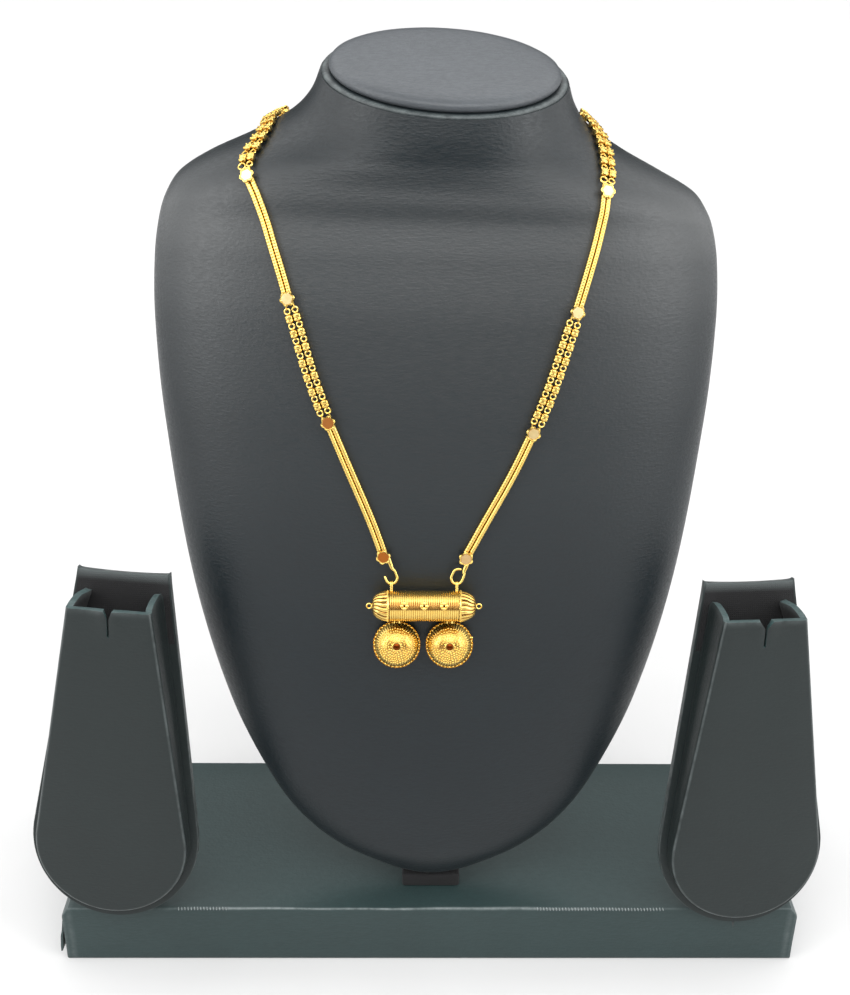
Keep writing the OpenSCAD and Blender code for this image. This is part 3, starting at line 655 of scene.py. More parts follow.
class Finishes:
    """The materials, each made once."""

    def __init__(self):
        stand, gold = bpy.context.scene.mangalsutra_stand, bpy.context.scene.mangalsutra_necklace
        grain = stand.grain / MM
        # dim and lit are shaded and lit copies of the board's cloth: painted shade on the pockets, and a
        # painted highlight on the pocket covers' cut edges
        dim, lit = [c * 0.55 for c in stand.board], [c * 1.4 for c in stand.board]
        # The bust's cover gets painted light from above on its upper parts
        self.bust = leatherette("leatherette_embossed", stand.leatherette, stand.worn_and_sheen, grain, top_light=0.28)
        self.board = leatherette("leatherette_board", stand.board, stand.worn_and_sheen, grain, 0.48, 0.12)
        self.pocket = leatherette("leatherette_pocket_painted_shade", dim, stand.worn_and_sheen, grain, 0.45, 0.1)
        # The pad's paler cloth stands in for light from above: painted light
        self.pad = leatherette("leatherette_smooth_painted_light", stand.pad, stand.worn_and_sheen, grain * 0.8, 0.37, 0.2)
        self.worn_and_sheen = leatherette("leatherette_turned_edge_painted_highlight", lit, stand.worn_and_sheen, grain)
        self.lining = cloth_lining("cotton_lining_glued", stand.lining, stand.worn_and_sheen)
        self.snake = polished_gold("gold_22k_woven_chain", gold.gold, gold.shade, 0.28)
        self.bead = polished_gold("gold_22k_cast_beads", gold.gold, gold.shade, 0.2)
        self.cast = polished_gold("gold_22k_stamped", gold.gold, gold.shade, 0.22)
        # The mirrors turn copper-brown where a painted reflection is laid on them
        self.mirror = polished_gold("gold_mirror_painted_copper_reflection", gold.mirror, "#ad662b", 0.38, 0.03)
        self.stud = polished_gold("copper_red_lacquered", "#733814", "#421a08", 0.25)
        self.thread = sewing_thread("polyester_thread_grey", stand.worn_and_sheen)


def finishes():
    if not hasattr(finishes, "made"):
        finishes.made = Finishes()
    return finishes.made


# Pieces of the stand

def bust_form():
    """The bust's cover, with the neck's rim turned over."""
    levels = np.concatenate([26 * (np.arange(24) / 24) ** 2, np.linspace(26, 242, 73)[:-1],
                             np.linspace(242, NECK_TOP - RIM_R, 64)])
    turns = np.concatenate([np.linspace(-90, 90, 120, endpoint=False),
                            np.linspace(90, 270, 72, endpoint=False)])
    # The table's smooth curve runs a hair outside the solid behind the neck, so the cover is drawn in
    behind = 0.4 * np.clip(-np.cos(np.radians(turns)), 0, 1)
    rings = [skin(level, turns, behind * np.clip((level - 303) / 8, 0, 1)) for level in levels]
    # A thin pale line along the side edges of the lower bust is a painted highlight, where the edge catches
    # the light
    from_edge = np.abs(np.abs((turns + 180) % 360 - 180) - 90)
    pale_mark = np.exp(-(from_edge / 1.4) ** 2)
    shade = [pale_mark * np.clip((235 - level) / 40, 0, 1) * 0.8 for level in levels]
    # The neck's rim turns over and runs in under the pad
    for a in np.radians(np.linspace(0, 90, 6)):
        rings.append(skin(NECK_TOP, turns, RIM_R * (1 - math.cos(a)) + behind, RIM_R * (math.sin(a) - 1)))
        shade.append(np.full(len(turns), 0.3 + 0.4 * math.sin(a)))
    for inset, mark in ((1.7, 0.5), (2.4, 0.05), (6, 0)):
        rings.append(skin(NECK_TOP, turns, inset + behind, 0))
        shade.append(np.full(len(turns), mark))
    form = Form()
    loft(form, rings, np.concatenate(shade))
    return form


def back_panel_form():
    """A thin cloth panel glued on the flat back, its edge pressed down."""
    rows, cols = 80, 60
    turns = np.linspace(104, 256, cols)
    from_side = np.minimum(np.arange(cols), cols - 1 - np.arange(cols)) / 2
    points, shade = [], []
    for i, level in enumerate(np.linspace(16, 248, rows)):
        out = np.array([skin_out(level, t) for t in turns])
        rim = np.minimum(from_side, min(i, rows - 1 - i) / 2).clip(0, 1)
        points.append(skin(level, turns) + out * (0.22 * rim - 0.05)[:, None])
        shade.append(np.where(rim < 1, 0.25, 0.0))
    form = Form()
    form.add(points, [f[::-1] for f in grid_faces(rows, cols, False)], np.concatenate(shade))
    return form


def pad_form():
    """The stuffed oval on the neck: a soft roll at its rim and a slightly crowned top."""
    s = section(NECK_TOP)
    high, seat = 4.6, -0.05
    profile = [(3.2, 0.05), (2.85, 0.14), (2.7, 0.3), (2.8, 0.46), (3.25, 0.6), (4.2, 0.72), (5.8, 0.81),
               (8, 0.875), (10.5, 0.915), (14, 0.945), (19, 0.97), (25, 0.985), (30, 0.995), (33, 1.0)]
    a = angles(180)
    rings = []
    for inset, share in profile:
        pucker = 0.05 * np.sin(9 * a + 1.3) * np.sin(5 * a) * np.exp(-(inset - 3.3) / 2)
        rings.append(in_section(s, 319.5, (s[1] - inset) * np.sin(a), -(s[2] - inset) * np.cos(a),
                                high * share + pucker + seat))
    form = Form()
    # The pad's lowest ring is marked pale: a painted highlight along the roll's lower edge
    loft(form, rings, np.array([0.5 if share < 0.1 else 0.0 for _, share in profile]))
    return form


def front_wave(x):
    """How far the cover of the board's front stands off, more and less along the board."""
    return 0.16 * math.sin(x / 17) + 0.1 * math.sin(x / 5.3 + 1)


def board_form():
    """The board under its cover: chamfered upper corners, folded long edges and a slightly wavy front."""
    half, deep, high, fold, end = BOARD_HALF, BOARD_DEEP, BOARD_HIGH, 1.1, 0.45
    chamfer_wide, chamfer_high = 3.0, 4.0
    ends = np.array([half, half - end / 3, half - end, half - 1.6])
    xs = np.concatenate([-ends, np.linspace(chamfer_wide - half, half - chamfer_wide, 152), ends[::-1]])
    from_end = half - np.abs(xs)
    inset = end * (1 - np.sqrt(1 - (1 - (from_end / end).clip(0, 1)) ** 2))
    top = high - chamfer_high * np.clip(1 - from_end / chamfer_wide, 0, 1)
    rings, shade = [], []
    for x, cut, z_top, near in zip(xs, inset, top, from_end):
        wave = front_wave(x)
        # The front's upper fold is marked pale, from the left pocket to the right one
        pale_mark = float(np.interp(x, [-100, -86, 60, 84], [0.3, 1, 1, 0.3]))
        end_rub = float(np.interp(near, [0, 0.3, 1, 2.4, 3, 4], [0.3, 0.4, 0.1, 0.05, 0.3, 0]))
        square = [(cut - deep, cut), (deep - cut, cut), (deep - cut, z_top - cut), (cut - deep, z_top - cut)]
        points = []
        for k, start in enumerate((180, 270, 0, 90)):
            (y, z), (to_y, to_z) = square[k], square[(k + 1) % 4]
            front_top = start == 90
            r = fold + (0.2 * math.sin(x / 23) if front_top else 0)
            cy, cz = y + (r if y < 0 else -r), z + (r if z < high / 2 else -r)
            off = 0.2 + wave if front_top else 0
            for c in np.radians(np.linspace(0, 90, 6)):
                a = math.radians(start) + c
                points.append((x, cy + r * math.cos(a) + off, cz + r * math.sin(a)))
                shade.append((pale_mark if front_top else 0.25) * math.sin(2 * c) ** 2 + end_rub)
            # Fine points along each face keep the cover's waves
            way_y, way_z = np.sign(to_y - y), np.sign(to_z - z)
            for t in np.linspace(0, 1, 7)[1:-1]:
                off = 0.2 + wave * (1 - t) if front_top else 0
                points.append((x, y + way_y * r + (to_y - y - 2 * way_y * r) * t + off,
                               z + way_z * r + (to_z - z - 2 * way_z * r) * t))
                shade.append(end_rub)
        rings.append(points)
    form = Form()
    loft(form, rings, np.array(shade))
    return form


def flap_form():
    """The cover's end, folded over at the board's left end and standing off a little low at the front."""
    low, thick, steps = 3.6, 0.9, 14
    rings = []
    for t in np.linspace(0, 1, steps):
        off, high = 2.6 * (1 - t) ** 2, 20.5 - 3 * t
        heights = ((0.1, high), (0.35, high - 5), (0.7, (low + high) / 2), (0.95, low + 3), (1, low + 0.5))
        side = [(-152.3 - off * k ** 0.8, z) for k, z in heights]
        curve = side + [(-152.25 - off, low), (-151.9 - off * 0.9, low + 0.35)]
        curve += [(x + thick, z) for x, z in side[-2::-1]]
        rings.append([(x, -47.2 + 60 * t, z) for x, z in curve])
    shade = np.where(np.arange(len(curve)) == 4, 0.5, 0.05)
    form = Form()
    loft(form, rings[::-1], np.tile(shade, steps))
    return form


def stitches_form():
    """The seam along the board's front: short stitches over the fold at both ends, where the fold is not
    marked pale."""
    form = Form()
    low, high = np.array([0.12, -0.42, -0.5]), np.array([-0.12, 0.55, 0.28])
    path = np.array([low, low * 0.5 + (0, -0.1, 0.08), (0, -0.1, 0.16), high * 0.6 + (0, -0.02, 0.1), high])
    for x in np.concatenate([np.arange(-104, -84, 1.3), np.arange(44, 97, 1.3)]):
        at = (x, -47.62 + front_wave(x), 27.72)
        tube(form, path + at, [0.1, 0.2, 0.22, 0.2, 0.1], 6, around=(1, 0, 0))
    return form


def pocket_axes(side):
    """A pocket's way across, back and up its panel, and its foot."""
    top_in, foot = (2.7, (-129.5, -53.2, 30)) if side < 0 else (0, (126.1, -52.8, 26))
    c, s = math.cos(math.radians(side * top_in)), math.sin(math.radians(side * top_in))
    inward = np.array([[c, 0, -s], [0, 1, 0], [s, 0, c]])
    return np.vstack([(turn_z(math.radians(side * 4)) @ inward @ turn_x(math.radians(-16))).T, foot])


def tongue(top_half, long, r, low=0.0):
    """Half of a tongue's outline from its top edge to its lowest point: points and outward ways. The
    first rows below the top edge lie close together."""
    lean = math.asin(r / math.hypot(top_half, long - r)) - math.atan2(top_half, long - r)
    turns = np.linspace(lean, -math.pi / 2, 30)
    ways = np.stack([np.cos(turns), np.sin(turns)], -1)
    arc = ways * r + (0, r)
    t = np.r_[np.linspace(0, 0.16, 16, endpoint=False), np.linspace(0.16, 1, 26)[:-1]][:, None]
    straight = np.array([top_half, long]) * (1 - t) + arc[0] * t
    return np.vstack([straight, arc]) + (0, low), np.vstack([np.repeat(ways[:1], len(t), 0), ways])


def pocket_sheet(side):
    """The pocket's front as a sheet from the panel round both sides: rows run down, columns across."""
    low, low_depth, deep, fold, slit_len, slit_half = POCKET_LOW, 3.0, 20.5, 1.5, 12.5, 0.4
    face_half = 13.5
    top = low + POCKET_LEN
    lean = (deep - low_depth) / POCKET_LEN
    points, ways = tongue(14.7, 141, 30.3, low)
    # The outline above the face's top edge is left off
    keep = points[:, 1] <= top
    points = np.vstack([[np.interp(top, points[::-1, 1], points[::-1, 0]), top], points[keep]])
    ways = np.vstack([ways[0], ways[keep]])
    across = np.array([slit_half, 0.7, 1.2, 1.9, 2.8, 4, 5.6, 7.6, 10, 12.6])
    turns = np.radians(np.linspace(0, 90, 7))

    def half_row(x, z, nx, nz, hand):
        front, down = -low_depth - z * lean, top - z
        # The side's top edge rises to an ear near the panel, and the outer ear bends in
        row = []
        for y in np.linspace(0, front + fold, 10)[:-1]:
            rise = 3.2 - (y + 3) ** 2 * (0.24 if y > -3 else 3.2 / (front + 3) ** 2)
            near = np.clip(1 - down / 12, 0, 1) ** 2
            bend = (2.2 if hand == side else 0.4) * math.exp(-((y + 3) / 5) ** 2) * near
            hollow = 0.5 * math.sin(math.pi * y / front) * np.clip(1 - down / 70, 0, 1)
            row.append((x - bend - nx * hollow, y, z + rise * near))
        for a in turns:
            back = fold * (1 - math.cos(a))
            row.append((x - nx * back, front + fold * (1 - math.sin(a)), z - nz * back))
        start = slit_half + (1.2 if side < 0 else 2.2) * np.clip(1 - down / 3, 0, 1)
        spots = np.interp(across, [slit_half, face_half], [start, face_half]) * min(1, row[-1][0] / 14)
        curl = 0.8 * np.clip(1 - down / 10, 0, 1) * np.exp(-((spots - 2) / 2.4) ** 2)
        return np.array(row + [(v, front - c, row[-1][2]) for v, c in zip(spots[::-1], curl[::-1])])

    rows, shade = [], []
    for (x, z), (nx, nz) in zip(points, ways):
        left, right = half_row(x, z, nx, nz, -1), half_row(x, z, nx, nz, 1)
        rows.append(np.vstack([left * (-1, 1, 1), right[::-1]]))
        # The folds get pale marks, a painted highlight, most of all round the lower end
        mark = np.zeros(len(left))
        mark[11:14] = (0.25, 0.45 + 0.4 * max(-nz, 0), 0.25)
        mark += 0.3 * np.clip(1 - (top - z) / 2, 0, 1)
        shade.append(np.r_[mark, mark[::-1]])
    rows = np.array(rows)
    count, cols = rows.shape[:2]
    slit = top - points[1:, 1] <= slit_len
    faces = [(i * cols + j + 1, i * cols + j, (i + 1) * cols + j, (i + 1) * cols + j + 1)
             for i in range(count - 1) for j in range(cols - 1) if not (slit[i] and j == cols // 2 - 1)]
    form = Form()
    form.add(placed(rows.reshape(-1, 3), pocket_axes(side)), faces, np.concatenate(shade))
    return form


def pocket_back_form(side):
    """The panel behind a pocket: its top edge sags between two small horns, and the cover turns over
    its sides on to the front."""
    points, _ = tongue(17.9, PANEL_LEN, 33.5)
    across = np.array([1, 0.985, 0.96, 0.93, 0.86, 0.75, 0.6, 0.45, 0.3, 0.15, 0])
    across = np.r_[across, -across[-2::-1]]
    rows, shade = [], []
    for x, z in points:
        near = np.clip(1 - (PANEL_LEN - z) / 4, 0, 1)
        rise = (0.7 * np.abs(across) ** 30 - 0.45 * (1 - across ** 2)) * near
        rows.append(np.stack([x * across, 0.1 + 0.3 * (1 - across ** 2) * near, z + rise], -1))
        shade.append(0.5 * near + 0.4 * (np.abs(across) > 0.99))
    form = Form()
    form.add(placed(np.concatenate(rows), pocket_axes(side)), grid_faces(len(rows), len(across), False),
             np.concatenate(shade))
    # The cover turns over the edge: narrow beside the mouth, and as far as it shows beside the front
    narrowest = np.minimum(np.abs(across[:-1]), np.abs(across[1:]))
    over = [(narrowest > (0.95 if z > 118 else 0.7)) | (z < 7) for z in points[:-1, 1]]
    form.finish = [0 if turned_over else 1 for turned_over in np.concatenate(over)]
    return form


def prism(profile, x0, x1):
    """A profile of depth and height, drawn from x0 to x1. It runs clockwise seen from the right."""
    n = len(profile)
    form = Form()
    form.add([[(x, y, z) for y, z in profile] for x in (x0, x1)],
             [f[::-1] for f in grid_faces(2, n)] + [tuple(range(n)), tuple(range(2 * n - 1, n - 1, -1))])
    return form


def block_form(side):
    """The block that props a pocket's panel, its back sloped."""
    return prism([(-44.5, 50), (-32.7, 50), (-20, 28), (-46, 28)], side * 130 - 14, side * 130 + 14)


def foot_form():
    """The low foot under the tip and the leg that follows the bust's back."""
    def behind(level, off=0.0):
        c, s = math.cos(BUST_LEAN), math.sin(BUST_LEAN)
        return BUST_AT[1] + 10.3 * c + level * s + off, BUST_AT[2] - 10.3 * s + level * c

    return prism([(-35, 28), (-35, 34.5), (behind(0)[0], 34.5), behind(26), behind(120), behind(120, 6),
                  (30, 28)], -12, 12)


# Pieces of the necklace

def snake_form(s0, s1, side):
    """A woven strand: slanted links one after another, met in a chevron, with a groove between them."""
    sizes = bpy.context.scene.mangalsutra_necklace
    r, link, per_link = sizes.snake / MM / 2, sizes.link / MM, 6
    inset = BLOCK_HALF_LEN + 0.18
    strand = Strand(s0 + inset, s1 - inset, REST_GAP + r, side * sizes.snake_pitch / MM / 2)
    count = int(round(strand.length / link)) * per_link
    base = np.linspace(0, strand.length, count + 1)
    in_link = np.arange(count + 1) % per_link
    swell = np.array([0.9, 0.975, 1.0, 1.0, 0.99, 0.95])[in_link]
    a = angles(16)
    skew = 1.1 * (np.abs((a + math.pi) % (2 * math.pi) - math.pi) / math.pi - 0.4)
    fade = np.clip(np.minimum(base, strand.length - base) / 3, 0, 1)
    lengths = np.clip(base[:, None] + fade[:, None] * skew, 0, strand.length)
    centre, out, beside = strand.at(lengths, 3), strand.at(lengths, 2), strand.at(lengths, 1)
    radius = (r * swell)[:, None, None]
    rings = centre + radius * (out * np.cos(a)[:, None] - beside * np.sin(a)[:, None])
    # Painted shade lies in the grooves, darkest where the links of the two sides meet
    groove = np.array([0.75, 0.15, 0.0, 0.0, 0.0, 0.2])[in_link]
    meet = 0.25 + 0.75 * np.exp(-((a - math.pi / 2 * (1 + side) / 2 - 0.5) / 0.7) ** 2)
    form = Form()
    loft(form, rings[::-1], (groove[::-1, None] * meet).reshape(-1))
    return form


def wire_eye(form, way, at, root, y=0.0, z=0.0, shade=0.2):
    """An eye of wire that stands on edge, from its root out to the way given."""
    a = np.radians(np.linspace(-115, 115, 11))
    bend = np.stack([way * (at + 0.5 * np.cos(a)), 0 * a + y, z + 0.5 * np.sin(a)], -1)
    path = np.vstack([[way * root, y, z - 0.3], bend, [way * root, y, z + 0.3]])
    tube(form, path, 0.17, 6, shade=shade, around=(0, 1, 0))


def bead_part(eye_at, r):
    """A cast bead along X, nearly a block, with soft corners, two ribs, a granule on each shoulder and
    an eye of wire at each end."""
    part = Form()
    half_len, wide = eye_at - 0.3, r * 1.13
    a = angles(20) + 0.01
    cross = np.stack([0 * a, squared(np.cos(a), 0.55), squared(np.sin(a), 0.7)], -1)
    # Rows: place along the bead, size, and painted shade at the ends and in the groove between the ribs
    rows = [(-1, 0.5, 0.6), (-0.94, 0.78, 0.5), (-0.7, 0.97, 0.05), (-0.34, 1.0, 0), (-0.2, 0.93, 0.5),
            (-0.06, 0.93, 0.5), (0.06, 0.98, 0), (0.34, 1.0, 0), (0.7, 0.97, 0.05), (0.94, 0.78, 0.5),
            (1, 0.5, 0.6)]
    loft(part, [cross * (0, wide * k, r * k) + (half_len * x, 0, 0) for x, k, _ in rows],
         np.array([shade for _, _, shade in rows]))
    for x in (-0.66, 0.66):
        for y in (-0.55, 0.55):
            ball(part, (half_len * x, wide * y, r * 0.86), 0.34, 0.9, 3, 8, 0.05)
    for way in (-1, 1):
        wire_eye(part, way, eye_at, eye_at - 0.75)
    return part


def bead_strand_form(s0, s1, side):
    """Beads whose eyes stand on edge, joined by rings that lie flat."""
    sizes = bpy.context.scene.mangalsutra_necklace
    r, count, ring_r = sizes.bead / MM / 2, sizes.beads, 1.0
    lift, aside = REST_GAP + r, side * sizes.strand_pitch / MM / 2
    strand = Strand(s0 + PLATE_EYE_AT, s1 - PLATE_EYE_AT, lift, aside)
    eye_at = (strand.length / 2 - (count + 1) * ring_r) / count
    pitch = 2 * (ring_r + eye_at)
    frames = [route_frame(strand.route_at(k * pitch - eye_at), lift, aside) for k in range(1, count + 1)]
    part = bead_part(eye_at, r)
    form = Form()
    for axes in frames:
        form.put(part, axes)
    first, last = route_frame(s0, lift, aside), route_frame(s1, lift, aside)
    starts = [first[3] + first[0] * PLATE_EYE_AT] + [axes[3] + axes[0] * eye_at for axes in frames]
    ends = [axes[3] - axes[0] * eye_at for axes in frames] + [last[3] - last[0] * PLATE_EYE_AT]
    for k, (a, b) in enumerate(zip(starts, ends)):
        out = frames[min(k, count - 1)][2]
        x = unit(b - a)
        n = unit(out - x * (x @ out))
        ring(form, np.linalg.norm(b - a) / 2, 0.33, np.array([x, np.cross(n, x), n, (a + b) / 2]), 22)
    return form


def plate_part(way, painted_reflection):
    """A lobed plate with a hexagonal mirror, which shows more or less of a painted copper-brown reflection,
    on the block that takes the strands' ends."""
    part = Form()
    a = angles(72)
    lobes = 2.15 + 0.65 * np.abs(np.cos(3 * (a - math.pi / 6))) ** 0.8
    low, top = BLOCK_TOP - 0.1, BLOCK_TOP + PLATE_THICK
    hexagon = 1.95 / np.max([np.cos(a - math.radians(60 * k)) for k in range(6)], axis=0)
    rows = ((lobes * 0.9, low), (lobes, low + 0.12), (lobes, top - 0.15), (lobes * 0.96, top - 0.03),
            (hexagon * 1.04, top), (hexagon * 0.98, top - 0.14))
    rings = [circle(r, a, z) for r, z in rows]
    # The shade values are painted shade: under the plate, at the frame's inner edge, on the mirror's sunken
    # step and on the block's edges
    loft(part, rings, np.array([0.5, 0.2, 0, 0, 0, 0.8]), caps=False)
    part.add(rings[0], [tuple(range(len(a) - 1, -1, -1))], 0.5)
    # The mirror is set a little below its frame
    inner = circle(hexagon * 0.9, a, top - 0.1)
    # The mirror's copper-brown is a painted reflection, as much as the plate is given
    loft(part, [rings[-1], inner], np.array([1.0, painted_reflection]), finish=1, caps=False)
    part.add(inner, [tuple(range(len(a)))], painted_reflection, finish=1)
    balls_round(part, 6, 2.42, top - 0.1, 0.3, 0.7, 3, 8, start=math.pi / 6, low=-20)
    c = angles(24) + 0.01
    box = np.stack([squared(np.cos(c), 0.25) * BLOCK_HALF_LEN, squared(np.sin(c), 0.25) * 2.0, 0 * c], -1)
    rows = ((0.86, BLOCK_LOW), (1, BLOCK_LOW + 0.25), (1, BLOCK_TOP - 0.3), (0.93, BLOCK_TOP))
    loft(part, [box * (k, k, 1) + (0, 0, z) for k, z in rows], np.array([0.6, 0.3, 0.1, 0.5]))
    if way:
        for y in (-1.5, 1.5):
            wire_eye(part, way, PLATE_EYE_AT, 1, y, REST_GAP + 1.25, 0.15)
    return part


def hook_form(side):
    """A plate whose strap narrows into a bent wire. The left wire stays open, the right one's tip curls up
    to the strap."""
    s = STOPS[0] if side < 0 else STOPS[-1]
    # The hook's mirror gets the painted copper-brown reflection: fully on the left, by half on the right
    form = plate_part(0, 1.0 if side < 0 else 0.5).moved(route_frame(s))
    reach = BAIL_TOP + BAIL_R - BAIL_WIRE - HOOK_WIRE - 0.12 + HOOK_R
    centre = pendant_frame(side * BAIL_X, 0, BARREL_LIFT)[3] + LEAN_UP * reach
    d = route_frame(s, (BLOCK_LOW + BLOCK_TOP) / 2)[3] - centre
    x = unit(d - LEAN_OUT * (d @ LEAN_OUT))

    def arc(start, end, rise, steps):
        return circle(HOOK_R, np.radians(np.linspace(start, end, steps))) + (rise, 0, 0)

    strap_x = np.linspace(d @ x, HOOK_RISE + HOOK_R * math.cos(HOOK_SIDE) + 0.5, 8)
    flat = np.stack([strap_x, 0 * strap_x - HOOK_R * math.sin(HOOK_SIDE), 0 * strap_x], -1)
    tip = arc(90, -8, HOOK_RISE, 16) if side > 0 else [(HOOK_RISE - 0.15, HOOK_R, 0), (HOOK_RISE, HOOK_R, 0)]
    path = np.vstack([flat, arc(-50, -90, HOOK_RISE, 6), arc(-90, -270, 0, 28), tip])
    along = np.r_[0, np.cumsum(np.linalg.norm(np.diff(path, axis=0), axis=1))]
    narrow, end = strap_x[0] - strap_x[-1], along[-1]
    wide = np.interp(along, [0, narrow - 0.6, narrow + 1.6, end - 0.25, end], [0.72, 0.7, 0.5, 0.5, 0.3])
    thick = np.interp(along, [0, narrow, narrow + 1.6, end - 0.25, end], [0.4, 0.42, 0.5, 0.5, 0.3])
    wire = Form()
    strap(wire, path, wide, thick)
    form.put(wire, np.array([x, np.cross(LEAN_OUT, x), LEAN_OUT, centre]))
    return form


def flower_part():
    """A small rosette: four petals, a granule between each two, and a dark stud."""
    flower = Form()
    # The rosette's seat under the petals gets painted shade
    turned(flower, [(1.6, -0.5, 0.8), (1.6, 0.06, 0.5), (1.45, 0.12, 0.5)], 24)
    balls_round(flower, 4, 0.98, 0.02, 0.72, 0.6, 4, 12, low=-20)
    balls_round(flower, 4, 1.25, 0.12, 0.26, 1, 3, 8, start=0.785, low=-20)
    ball(flower, (0, 0, 0.1), 0.42, 0.8, 3, 12, 1.0, 1, -20)
    return flower


def barrel_form():
    """The ribbed barrel with its flowers, bails and the eyes for the cups."""
    profile = [(BARREL_R - 0.9, -BARREL_HALF, 1.0)]
    for i in range(RIBS):
        for t, rise in ((0.04, 0), (0.22, 0.75), (0.4, 1), (0.62, 1), (0.82, 0.75), (0.98, 0)):
            profile.append((BARREL_R - RIB_H * (1 - rise), (i + t) * RIB_PITCH - BARREL_HALF, 1.0 - rise))
    profile = np.array(profile + [(BARREL_R - 0.9, BARREL_HALF, 1.0)])
    # A stripe of the ribs between the flowers is painted brown, a painted reflection of the dark room on the
    # camera's side, with painted shade in its grooves; above and below it only the grooves get a faint
    # painted shade
    sides = 96
    from_flowers = np.abs((180 - np.arange(sides) * 360 / sides) - math.degrees(FLOWER_UP))
    darkened, deep = np.clip((18 - from_flowers) / 4, 0, 1), profile[:, 2:]
    ribbed = Form()
    turned(ribbed, profile, sides, (darkened * (0.65 + 0.35 * deep) + (1 - darkened) * 0.3 * deep).reshape(-1))
    form = ribbed.moved(ALONG_X)
    c, s = math.cos(FLOWER_UP), math.sin(FLOWER_UP)
    for i in (-1, 0, 1):
        at = [i * FLOWER_PITCH, s * BARREL_R, c * BARREL_R]
        form.put(flower_part(), np.array([[1, 0, 0], [0, c, -s], [0, s, c], at]))
    lean = turn_x(-BAIL_BACK).T
    a = np.radians(np.linspace(-90, 90, 15))
    loop = np.stack([0 * a, BAIL_TOP + BAIL_R * np.cos(a), BAIL_R * np.sin(a)], -1)
    legs = np.array([[0, BARREL_R - 0.6, -BAIL_R], [0, 7.5, -BAIL_R]])
    loop = np.vstack([legs, loop, legs[::-1] * (1, 1, -1)]) @ lean
    for side, _ in HANDS:
        # The bail is bent from two thin wires that lie side by side
        for wire in (-0.27, 0.27):
            tube(form, loop + (side * BAIL_X + wire, 0, 0), BAIL_WIRE * 0.7, 10, around=(1, 0, 0))
        # The granules at the bails' feet get a little painted shade
        for z in (-BAIL_R, BAIL_R):
            ball(form, np.array([0, BARREL_R - 0.05, z]) @ lean + (side * BAIL_X, 0, 0), 0.6, 0.8, 5, 10, 0.3)
        eye = ALONG_X.copy()
        eye[3] = (CUP_SHIFT + side * CUP_PITCH / 2, -LINK_LOW, -LINK_BACK)
        ring(form, LINK_EYE_R, LINK_EYE_WIRE, eye)
    return form.moved(pendant_frame(0, 0, BARREL_LIFT))


def cap_form(side):
    """A fluted dome with a collar of tiny beads, a neck and a small end ring."""
    form = Form()
    dome_r, flutes, sides = BARREL_R + 0.1, 18, 216
    t = np.linspace(0, 1, 24)
    s, c = np.sin(t * math.pi / 2), np.cos(t * math.pi / 2)
    profile = np.stack([dome_r * (0.16 + 0.84 * c ** 0.8), CAP_LEN * s ** 1.15], -1)
    # The flutes wave near the collar and run straight to the neck
    sway = (1.1 * np.sin(7 * t) * (1 - t))[:, None]
    # Painted shade lies in the flutes' grooves, under the collar and round the neck
    groove = 1 - np.abs(np.sin(flutes / 2 * angles(sides) + sway)) ** 0.8
    turned(form, profile, sides, (groove * 1.3 - 0.1).clip(0, 1).reshape(-1), wave=1 - 0.085 * groove)
    turned(form, [(4.5, -1.9, 0.3), (4.6, -0.05, 0.8), (dome_r - 0.25, 0, 0.6), (dome_r - 0.05, 0.1, 0.3),
                  (dome_r + 0.08, 0.25, 0), (dome_r + 0.08, 0.5, 0), (dome_r - 0.1, 0.72, 0.6)], 72)
    balls_round(form, 44, dome_r - 0.12, 0.62, 0.3, 1, 3, 7, 0.05)
    turned(form, [(1.15, CAP_LEN - 0.9, 0.9), (1.2, CAP_LEN - 0.3, 0.3), (0.85, CAP_LEN + 0.05, 0.1),
                  (0.8, CAP_LEN + 0.28, 0.3)], 24)
    ring(form, 0.95, 0.3, np.array([[0, 1, 0], [0, 0, 1], [1, 0, 0], [0, 0, CAP_LEN + 1.05]]), 28)
    outward = [[0, 0, -side], [0, 1, 0], [side, 0, 0], [side * (BARREL_HALF + 0.12), 0, 0]]
    return form.moved(np.array(outward, float)).moved(pendant_frame(0, 0, BARREL_LIFT))


def cup_height(r):
    return DOME_LOW + CUP_H * max(1 - (r / DOME_HALF) ** 2.2, 0) ** 0.75


